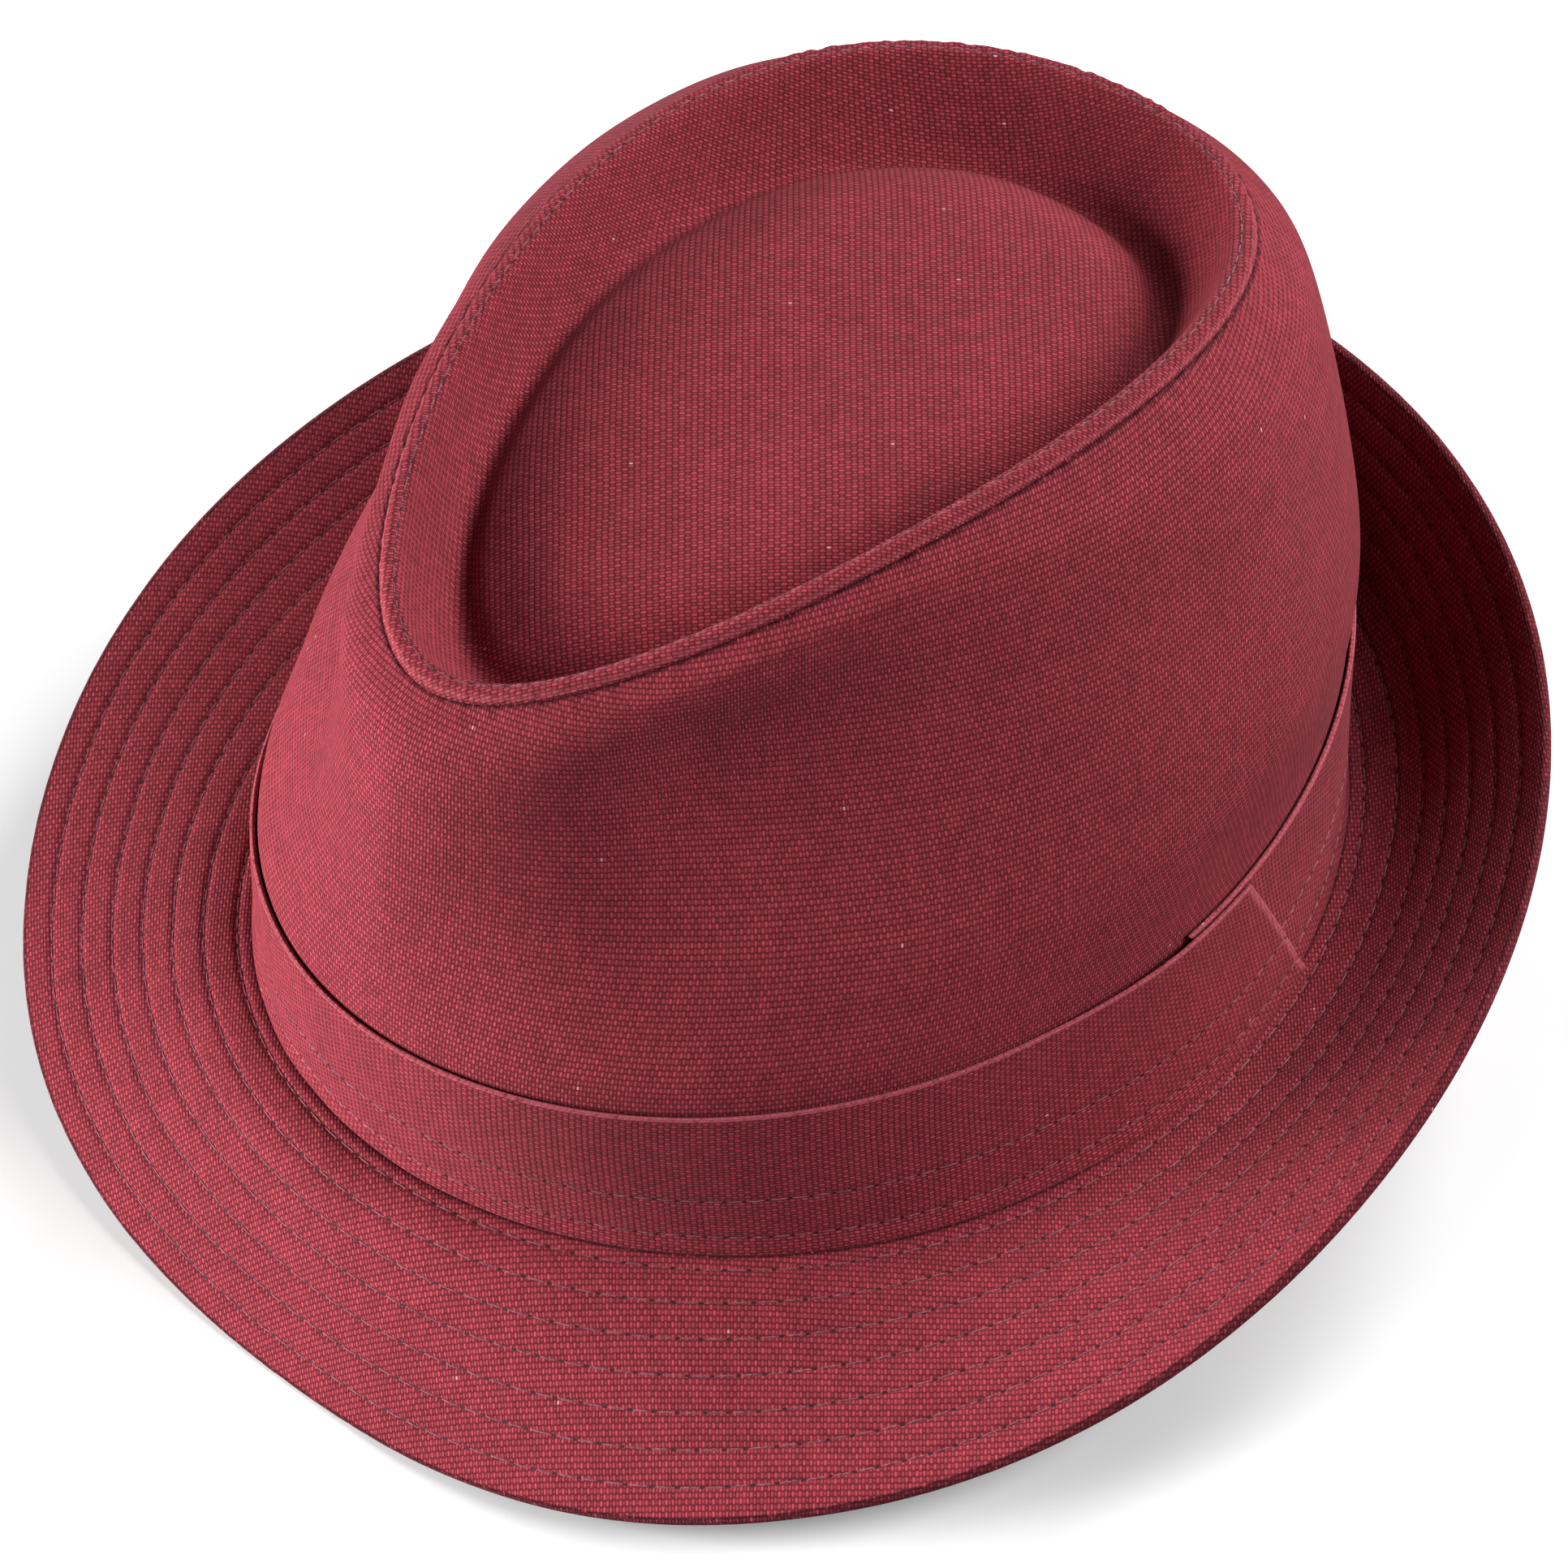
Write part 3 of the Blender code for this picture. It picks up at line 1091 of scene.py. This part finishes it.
    def _fold(self) -> bpy.types.NodeTree:
        """Masks folded edges, broken up by noise: some pieces paint them paler, others paint near-black shade
        there for the crack beside the edge.

        Returns:
            The group.
        """
        number = "NodeSocketFloat"
        group, wires, source, out = self._group(
            "fold_edge_tint_and_shade",
            (
                ("Place", "NodeSocketVector", None),
                ("Share", number, 0.0),
                ("Around", number, 0.0),
                ("End Edge", number, 2.0),
                ("Low Edge", number, 0.01),
                ("High Edge", number, 0.99),
                ("Width", number, 0.012),
            ),
            (("Edge Tint And Shade", number),),
        )
        away = []
        for name, edge in (("Share", "Low Edge"), ("Share", "High Edge"), ("Around", "End Edge")):
            apart = wires.sum("SUBTRACT", source.outputs[name], source.outputs[edge])
            away.append(wires.sum("ABSOLUTE", apart))
        low, high, ends = away
        near = wires.sum("DIVIDE", wires.sum("MINIMUM", low, high), source.outputs["Width"])
        close = wires.sum("MAXIMUM", wires.fade(near, 1.0, 0.2), wires.fade(ends, 0.0024, 0.0008))
        patchy = wires.fade(wires.noise(source.outputs["Place"], 900.0, 2.0, 0.6), 0.25, 0.50)
        wires.put(out.inputs["Edge Tint And Shade"], wires.sum("MULTIPLY", close, patchy, clamp=True))
        return group


@dataclass(frozen=True)
class CanvasFinish:
    """Dyed cotton canvas in plain weave, as it looks on one piece."""

    name: str
    warp_pitch: float = 0.56 * MM
    weft_pitch: float = 1.00 * MM
    weft_level: float = 0.60
    drift: float = 0.30 * MM
    thread_dye: Colour = (0.345, 0.045, 0.064, 1.0)
    # Painted shade for the weave's low parts, between the thread crowns.
    between_threads_shade: Colour = (0.112, 0.011, 0.017, 1.0)
    pale_speck: Colour = (0.60, 0.32, 0.34, 1.0)
    # Colour laid along folded edges, with its amount and width: pale by default, near-black painted shade where
    # a piece passes SHADED.
    edge_tint_and_shade: Colour = (0.52, 0.13, 0.16, 1.0)
    edge_tint_and_shade_amount: float = 0.30
    low_edge: float = -0.01
    high_edge: float = 1.01
    edge_tint_and_shade_width: float = 0.016
    end_edge: float = 2.0
    thread_depth: float = 0.13 * MM
    fuzz: float = 0.25
    specular: float = 0.12
    sheen: float = 0.03
    sheen_roughness: float = 0.42
    sheen_tint: Colour = (1.0, 0.70, 0.74, 1.0)

    def make(self, parts: ShaderParts) -> bpy.types.Material:
        """Builds the material.

        Args:
            parts: The shared node groups.

        Returns:
            The new material.
        """
        material, wires = start_material(self.name)
        cloth = wires.add("ShaderNodeUVMap", uv_map="weave").outputs["UV"]
        where = wires.add("ShaderNodeUVMap", uv_map="across").outputs["UV"]
        place = wires.add("ShaderNodeTexCoord").outputs["Object"]
        weave = wires.add("ShaderNodeGroup", node_tree=parts.weave)
        dye = wires.add("ShaderNodeGroup", node_tree=parts.dye)
        fold = wires.add("ShaderNodeGroup", node_tree=parts.fold)
        wires.fill(
            weave,
            {
                "Cloth": cloth,
                "Warp Pitch": self.warp_pitch,
                "Weft Pitch": self.weft_pitch,
                "Weft Level": self.weft_level,
                "Drift": self.drift,
            },
        )
        wires.put(dye.inputs["Place"], place)
        split = wires.add("ShaderNodeSeparateXYZ")
        wires.put(split.inputs[0], where)
        wires.fill(
            fold,
            {
                "Place": place,
                "Share": split.outputs["Y"],
                "Around": split.outputs["X"],
                "End Edge": self.end_edge,
                "Low Edge": self.low_edge,
                "High Edge": self.high_edge,
                "Width": self.edge_tint_and_shade_width,
            },
        )
        # Painted shade: the weave's low parts, between the thread crowns, take the darker colour.
        crown = wires.fade(weave.outputs["Height"], 0.15, 0.95)
        colour = wires.mix(crown, self.between_threads_shade, self.thread_dye)
        tone = wires.fade(weave.outputs["Tone"], 0.2, 0.8, 0.80, 1.20)
        shade = wires.fade(dye.outputs["Shade"], 0.1, 0.9, 0.93, 1.06)
        light = wires.sum("MULTIPLY", tone, shade)
        grey = wires.add("ShaderNodeCombineColor")
        for socket in grey.inputs:
            wires.put(socket, light)
        colour = wires.mix(1.0, colour, grey.outputs[0], "MULTIPLY")
        # Folded edges get the edge colour: paler on the tip and band, near-black painted shade on the brim and
        # crown side.
        colour = wires.mix(wires.sum("MULTIPLY", fold.outputs["Edge Tint And Shade"], self.edge_tint_and_shade_amount), colour, self.edge_tint_and_shade)
        # Pale specks scattered at random on the thread crowns.
        colour = wires.mix(wires.sum("MULTIPLY", weave.outputs["Speck"], 0.8), colour, self.pale_speck)
        fuzz = wires.noise(place, 2600.0, 2.0, 0.6)
        height = wires.sum("ADD", weave.outputs["Height"], wires.sum("MULTIPLY", fuzz, self.fuzz))
        bump = wires.add("ShaderNodeBump")
        wires.fill(bump, {"Height": height, "Strength": 1.0, "Distance": self.thread_depth})
        shader = wires.add("ShaderNodeBsdfPrincipled")
        wires.put(shader.inputs["Base Color"], colour)
        wires.put(shader.inputs["Normal"], bump.outputs[0])
        wires.put(shader.inputs["Roughness"], wires.fade(crown, 0.0, 1.0, 0.95, 0.74))
        shader.inputs["Specular IOR Level"].default_value = self.specular
        shader.inputs["Sheen Weight"].default_value = self.sheen
        shader.inputs["Sheen Roughness"].default_value = self.sheen_roughness
        shader.inputs["Sheen Tint"].default_value = self.sheen_tint
        show(wires, shader)
        return material


@dataclass(frozen=True)
class PlainFinish:
    """The mottled, finely grained finish of a small plain thing: thread, or the painted shade in a needle hole.
    """

    name: str
    dark: Colour
    pale: Colour
    grain: float = 2200.0
    grain_depth: float = 0.05 * MM
    roughness: float = 0.7
    specular: float = 0.3
    sheen: float = 0.2

    def make(self) -> bpy.types.Material:
        """Builds the material.

        Returns:
            The new material.
        """
        material, wires = start_material(self.name)
        place = wires.add("ShaderNodeTexCoord").outputs["Object"]
        mottle = wires.noise(place, self.grain, 3.0, 0.6)
        bump = wires.add("ShaderNodeBump")
        wires.put(bump.inputs["Height"], mottle)
        bump.inputs["Distance"].default_value = self.grain_depth
        shader = wires.add("ShaderNodeBsdfPrincipled")
        colour = wires.mix(wires.fade(mottle, 0.3, 0.7), self.dark, self.pale)
        rough = wires.fade(mottle, 0.2, 0.8, self.roughness, self.roughness + 0.1)
        wires.fill(shader, {"Base Color": colour, "Normal": bump.outputs[0], "Roughness": rough})
        shader.inputs["Specular IOR Level"].default_value = self.specular
        shader.inputs["Sheen Weight"].default_value = self.sheen
        show(wires, shader)
        return material


@dataclass
class Wardrobe:
    """All finishes of the hat."""

    parts: ShaderParts = field(default_factory=ShaderParts)
    thread: bpy.types.Material = field(init=False)
    hole: bpy.types.Material = field(init=False)

    def __post_init__(self) -> None:
        """Makes the finishes that small pieces share."""
        thread = PlainFinish(
            "sewing_thread", (0.07, 0.012, 0.018, 1.0), (0.27, 0.075, 0.10, 1.0), grain=1500.0, roughness=0.45
        )
        self.thread = thread.make()
        # Painted shade: near-black discs stand in for the shade inside the needle holes.
        hole = PlainFinish("needle_hole_painted_shade", (0.012, 0.002, 0.003, 1.0), (0.03, 0.005, 0.008, 1.0), sheen=0.0)
        self.hole = hole.make()

    def dress(self, piece: bpy.types.Object, material: bpy.types.Material) -> None:
        """Gives a piece its finish and its place on the hat.

        Args:
            piece: The piece to dress.
            material: Its finish.
        """
        piece.data.materials.clear()
        piece.data.materials.append(material)
        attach(piece, "root")

    def sew(self, seam: Stitching, form: HatForm) -> None:
        """Builds rows of stitches and dresses them.

        Args:
            seam: The rows.
            form: Sets them down with the hat.
        """
        threads, holes = seam.build(form)
        self.dress(threads, self.thread)
        self.dress(holes, self.hole)
        LOG.info("%s: %d faces, holes %d", seam.name, len(threads.data.polygons), len(holes.data.polygons))


@dataclass
class Brim:
    """The stitched brim: two layers of cloth, turned in at the edge and quilted with seven rows."""

    form: HatForm
    rows: int = 7
    first_row: float = 1.3 * MM
    row_step: float = 5.88 * MM
    groove: float = 0.36 * MM
    groove_width: float = 0.62 * MM
    bearings: int = 600
    grain_angle: float = 42.0

    def row_reach(self, row: int) -> float:
        """The reach of a row of stitches, counted from the crown."""
        return self.first_row + row * self.row_step

    def relief(self, bearing: Array, reach: Array, distance: Array) -> Array:
        """Grooves along the rows, and the cloth's soft swell between them.

        Args:
            bearing: Degrees round the hat.
            reach: Metres from the end of the flat root.
            distance: Metres across the cloth.

        Returns:
            Heights in metres.
        """
        depth = sum(bell(reach - self.row_reach(row), self.groove_width) for row in range(self.rows))
        swell = 0.10 * MM * ripple(bearing, distance, 11, (9, 14, 23, 31), 0.021)
        crimp = 0.05 * MM * ripple(bearing, distance, 12, (88, 121, 147), 0.009)
        return -self.groove * depth + ease((reach + 0.001) / 0.004) * (swell + crimp)

    def stations(self) -> Array:
        """Places across the brim, closest together at the rows."""
        form = self.form
        inner = -(form.brim_root + form.crown_wall)
        close = np.array([-1.3, -0.8, -0.45, -0.15, 0.15, 0.45, 0.8, 1.3]) * MM
        places = [self.row_reach(row) + close for row in range(self.rows)]
        between = [self.row_reach(row) + np.array([2.1, 2.95, 3.8]) * MM for row in range(self.rows)]
        rest = np.concatenate([np.linspace(inner, self.first_row - 1.9 * MM, 5), [form.brim_width]])
        total = np.concatenate([*places, *between, rest])
        return np.unique(np.round(total[(total <= form.brim_width) & (total >= inner)], 6))

    def build(self, wardrobe: Wardrobe) -> None:
        """Builds and dresses the brim and its stitching.

        Args:
            wardrobe: The finishes.
        """
        form = self.form
        inner = -(form.brim_root + form.crown_wall)
        stations = self.stations()
        shell = ClothShell(
            name="brim_cloth",
            surface=form.brim,
            bearings=np.linspace(-180.0, 180.0, self.bearings + 1),
            outer=stations,
            inner=np.union1d(stations[::2], stations[-1:]),
            thickness=form.brim_wall - 0.2 * MM,
            relief=self.relief,
            grain=Grain.FLAT_RING,
            grain_angle=self.grain_angle,
            flip=-1.0,
        )
        piece = shell.build(form)
        # Painted shade: near-black lines along the crack where the brim meets the crown and along the brim's
        # outer edge.
        finish = CanvasFinish(
            "brim_canvas_look", low_edge=0.068, high_edge=1.012, edge_tint_and_shade_width=0.016, edge_tint_and_shade=SHADED, edge_tint_and_shade_amount=0.85
        )
        wardrobe.dress(piece, finish.make(wardrobe.parts))
        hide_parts("brim")
        for side, title in ((Side.TOP, "brim_stitches"), (Side.UNDER, "brim_under_stitches")):
            seam = Stitching(title, Thread(sides=6 if side is Side.TOP else 5), seed=21)
            for row in range(self.rows):
                line, looks = shell.faces[side].row(self.row_reach(row) - inner)
                seam.add_row(line[:-1], looks[:-1], side=side)
            wardrobe.sew(seam, form)
        LOG.info("brim_cloth: %d faces", len(piece.data.polygons))


@dataclass
class CrownSide:
    """The wall of the crown, one curved strip joined at the back, pinched on both sides."""

    form: HatForm
    bearings: int = 600
    pucker: float = 0.20 * MM
    pucker_reach: float = 4.5 * MM
    tuck: float = 0.45 * MM
    hem: float = 0.16 * MM
    fray: float = 0.13 * MM

    def relief(self, bearing: Array, level: Array, distance: Array) -> Array:
        """Soft unevenness of the wall, with small puckers along the tip's seam.

        Args:
            bearing: Degrees round the hat.
            level: 0 at the brim and 1 at the seam.
            distance: Metres across the cloth.

        Returns:
            Heights in metres.
        """
        form = self.form
        left = (1.0 - level) * form.crown_height
        pull = self.pucker * bell(left, self.pucker_reach)
        pull = pull * ripple(bearing, distance, 31, (76, 93, 58, 131), 0.05)
        slack = 0.22 * MM * ripple(bearing, distance, 32, (5, 8, 13, 17), 0.09)
        free = ease((level - form.band_level) / 0.12) * ease(left / (8.0 * MM))
        seam = -0.35 * MM * bell(np.abs(np.abs(bearing) - 180.0) * math.pi / 180.0 * 0.1, 0.6 * MM)
        tuck = -self.tuck * bell(left, 0.9 * MM)
        hem = -self.hem * ease((form.band_level + 0.006 - level) / 0.008)
        fray = self.fray * bell(left, 1.3 * MM) * ripple(bearing, distance, 33, (139, 171, 203), 0.02)
        return pull + slack * free + seam * free + tuck + hem + fray

    def build(self, wardrobe: Wardrobe) -> None:
        """Builds and dresses the wall.

        Args:
            wardrobe: The finishes.
        """
        form = self.form
        upper = 1.0 - np.array([0.0, 0.5, 1.0, 1.6, 2.3, 3.1, 4.0, 5.0, 6.2]) * MM / form.crown_height
        hem = form.band_level + np.array([-0.004, -0.001, 0.002, 0.006])
        levels = np.unique(np.concatenate([np.linspace(0.0, upper[-1], 78), upper, hem]))
        shell = ClothShell(
            name="crown_side_cloth",
            surface=form.wall,
            bearings=np.linspace(-180.0, 180.0, self.bearings + 1),
            outer=levels,
            inner=np.linspace(0.0, 1.0, 40),
            thickness=form.crown_wall,
            relief=self.relief,
            grain=Grain.UPRIGHT_STRIP,
        )
        piece = shell.build(form)
        # Painted shade: a near-black line along the top edge, in the crack under the tip's lip.
        finish = CanvasFinish(
            "crown_side_canvas_look", low_edge=-0.5, high_edge=1.0, edge_tint_and_shade_width=0.012, edge_tint_and_shade=SHADED, edge_tint_and_shade_amount=0.9
        )
        wardrobe.dress(piece, finish.make(wardrobe.parts))
        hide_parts("crown_side")
        LOG.info("crown_side_cloth: %d faces", len(piece.data.polygons))


@dataclass
class CrownTip:
    """The dished top panel, with its rolled lip and the row of stitches that holds the lip."""

    form: HatForm
    bearings: int = 520
    row_distance: float = 2.9 * MM
    groove: float = 0.40 * MM
    fray: float = 0.15 * MM
    grain_angle: float = 132.0

    def relief(self, bearing: Array, place: Array, distance: Array) -> Array:
        """The groove along the lip's stitches, the lip's puckers and the panel's soft unevenness.

        Args:
            bearing: Degrees round the hat.
            place: Counted in rings from the seam.
            distance: Metres from the seam.

        Returns:
            Heights in metres.
        """
        groove = -self.groove * bell(distance - self.row_distance, 0.6 * MM)
        puff = 0.32 * MM * bell(distance - 0.35 * self.row_distance, 1.1 * MM)
        pull = 0.13 * MM * ripple(bearing, distance, 41, (82, 101, 64, 137), 0.05)
        pull = pull * bell(distance - 1.2 * MM, 2.6 * MM)
        middle = ease((len(self.form.tip_rings) - 1 - place) / 1.5)
        slack = 0.25 * MM * ripple(bearing, distance, 42, (3, 5, 7, 9), 0.05) * ease((distance - 0.004) / 0.01)
        fray = self.fray * bell(distance, 1.4 * MM) * ripple(bearing, distance, 43, (131, 163, 197), 0.02)
        return groove + puff + pull + slack * middle + fray

    def build(self, wardrobe: Wardrobe) -> None:
        """Builds and dresses the tip and its stitching.

        Args:
            wardrobe: The finishes.
        """
        form = self.form
        last = len(form.tip_rings) - 1.0
        slope, hollow, middle = np.linspace(0.0, 4.0, 44), np.linspace(4.0, 8.0, 40), np.linspace(8.0, last, 16)
        fine = np.concatenate([slope, hollow[1:], middle[1:]])
        shell = ClothShell(
            name="crown_tip_cloth",
            surface=form.tip,
            bearings=np.linspace(-180.0, 180.0, self.bearings + 1),
            outer=fine,
            inner=np.concatenate([fine[:-1:3], [last]]),
            thickness=form.tip_wall,
            relief=self.relief,
            grain=Grain.DISC,
            grain_angle=self.grain_angle,
            domed=True,
        )
        piece = shell.build(form)
        finish = CanvasFinish("crown_tip_canvas_look", low_edge=0.0, high_edge=1.5, edge_tint_and_shade_width=0.014, edge_tint_and_shade_amount=0.2)
        wardrobe.dress(piece, finish.make(wardrobe.parts))
        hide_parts("crown_tip")
        seam = Stitching("tip_stitches", Thread(pitch=3.2 * MM, radius=0.13 * MM, hole=0.34 * MM), seed=43)
        line, looks = shell.faces[Side.TOP].row(self.row_distance)
        seam.add_row(line[:-1], looks[:-1])
        wardrobe.sew(seam, form)
        LOG.info("crown_tip_cloth: %d faces", len(piece.data.polygons))


@dataclass
class HatBand:
    """The ribbon of the same cloth round the crown's foot, its end lapped over its start."""

    form: HatForm
    pieces: int = 620
    low_row: float = 3.6 * MM
    high_row: float = 12.0 * MM
    lip: float = 0.50 * MM

    def relief(self, turn: Array, share: Array, distance: Array) -> Array:
        """The band's free lower lip, the grooves along its rows and its soft waves.

        Args:
            turn: Degrees from the front.
            share: 0 at the lower edge and 1 at the top.
            distance: Metres from the lower edge.

        Returns:
            Heights in metres.
        """
        lip = self.lip * ease(1.0 - distance / self.low_row)
        rows = bell(distance - self.low_row, 0.55 * MM) + 0.8 * bell(distance - self.high_row, 0.55 * MM)
        wave = 0.10 * MM * ripple(turn, distance, 51, (11, 17, 29), 0.03)
        top = ease((1.0 - share) / 0.15)
        return lip - 0.26 * MM * rows + wave * top

    def build(self, wardrobe: Wardrobe) -> None:
        """Builds and dresses the band and its stitching.

        Args:
            wardrobe: The finishes.
        """
        form = self.form
        start, end = form.band_turns()
        shell = ClothShell(
            name="hat_band_cloth",
            surface=form.band,
            bearings=np.linspace(start, end, self.pieces + 1),
            outer=np.linspace(0.0, 1.0, 47),
            inner=np.linspace(0.0, 1.0, 9),
            thickness=form.band_wall,
            relief=self.relief,
            grain=Grain.UPRIGHT_STRIP,
            grain_angle=90.0,
            closed=False,
        )
        piece = shell.build(form)
        finish = CanvasFinish(
            "hat_band_canvas_look",
            low_edge=-0.022,
            high_edge=1.022,
            edge_tint_and_shade_width=0.03,
            end_edge=1.0,
            edge_tint_and_shade_amount=0.38,
        )
        wardrobe.dress(piece, finish.make(wardrobe.parts))
        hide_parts("hat_band")
        seam = Stitching("hat_band_stitches", Thread(pitch=3.6 * MM, radius=0.12 * MM, hole=0.28 * MM), seed=53)
        for distance in (self.low_row, self.high_row):
            line, looks = shell.faces[Side.TOP].row(distance)
            keep = shell.bearings > start + form.lap_span + 1.0
            seam.add_row(line[keep], looks[keep], closed=False)
        wardrobe.sew(seam, form)
        LOG.info("hat_band_cloth: %d faces", len(piece.data.polygons))


@dataclass(frozen=True)
class Softbox:
    """One soft light of the studio."""

    name: str
    azimuth: float
    elevation: float
    power: float
    size: float
    distance: float = 1.6


@dataclass
class Studio:
    """The pale floor, the soft lights and the camera."""

    form: HatForm
    azimuth: float = 42.0
    elevation: float = 45.7
    distance: float = 0.970
    target: tuple[float, float, float] = (0.0225, -0.0308, 0.05)
    sensor: float = 36.0
    lens: float = 139.1925
    ambient: float = 0.02
    floor_half: float = 6.0
    aim_height: float = 0.06
    lights: tuple[Softbox, ...] = (
        Softbox("front_low", azimuth=-38.0, elevation=12.0, power=70.0, size=0.9),
        Softbox("front_high", azimuth=-30.0, elevation=58.0, power=3.0, size=0.8),
        Softbox("back_left", azimuth=116.0, elevation=35.0, power=30.0, size=0.9),
        Softbox("back", azimuth=180.0, elevation=26.0, power=26.0, size=0.8),
    )

    def place_floor(self) -> None:
        """Lays the pale floor under the hat."""
        mesh = bpy.data.meshes.new("floor")
        half = self.floor_half
        corners = [(-half, -half, 0.0), (half, -half, 0.0), (half, half, 0.0), (-half, half, 0.0)]
        mesh.from_pydata(corners, [], [(0, 1, 2, 3)])
        floor = add_object("floor", mesh)
        material, wires = start_material("floor_paper")
        place = wires.add("ShaderNodeTexCoord").outputs["Object"]
        mottle = wires.noise(place, 40.0, 2.0)
        seen = wires.add("ShaderNodeLightPath").outputs["Is Camera Ray"]
        paper = wires.mix(mottle, (0.78, 0.78, 0.78, 1.0), (0.82, 0.82, 0.82, 1.0))
        shader = wires.add("ShaderNodeBsdfPrincipled")
        wires.put(shader.inputs["Base Color"], wires.mix(seen, (0.16, 0.16, 0.16, 1.0), paper))
        shader.inputs["Roughness"].default_value = 0.95
        show(wires, shader)
        mesh.materials.append(material)

    def place_camera(self) -> None:
        """Sets the camera at the photograph's viewing angle."""
        back = heading(self.azimuth, self.elevation)
        right = heading(self.azimuth + 90.0, 0.0)
        turned = Matrix((right, back.cross(right), back)).transposed().to_4x4()
        eye = Matrix.Translation(Vector(self.target) + back * self.distance)
        lean = Matrix.Rotation(-math.radians(self.form.lean_back), 4, "X")
        data = bpy.data.cameras.new("camera")
        data.sensor_width = self.sensor
        data.lens = self.lens
        data.clip_start, data.clip_end = 0.01, 50.0
        camera = add_object("camera", data)
        camera.matrix_world = Matrix.Translation(self.form.set_down_by) @ lean @ eye @ turned
        bpy.context.scene.camera = camera

    def place_lights(self) -> None:
        """Hangs the soft lights and sets the room's even light."""
        for box in self.lights:
            way = heading(box.azimuth, box.elevation)
            data = bpy.data.lights.new(box.name, "AREA")
            data.shape = "DISK"
            data.size = box.size
            data.energy = box.power
            lamp = add_object(box.name, data)
            lamp.location = Vector((0.0, 0.0, self.aim_height)) + way * box.distance
            lamp.rotation_mode = "QUATERNION"
            lamp.rotation_quaternion = way.to_track_quat("Z", "Y")
        world = bpy.data.worlds.new("room")
        world.use_nodes = True
        shader = world.node_tree.nodes["Background"]
        shader.inputs["Color"].default_value = (1.0, 1.0, 1.0, 1.0)
        shader.inputs["Strength"].default_value = self.ambient
        bpy.context.scene.world = world
        bpy.context.scene.view_settings.view_transform = "Standard"

    def build(self) -> None:
        """Sets up the whole studio."""
        self.place_floor()
        self.place_camera()
        self.place_lights()


def main() -> None:
    """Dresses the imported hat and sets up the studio."""
    logging.basicConfig(level=logging.INFO, format="%(name)s %(message)s")
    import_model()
    form = HatForm()
    wardrobe = Wardrobe()
    for part in (Brim(form), CrownSide(form), CrownTip(form), HatBand(form)):
        part.build(wardrobe)
    Studio(form).build()


if __name__ == "__main__":
    main()
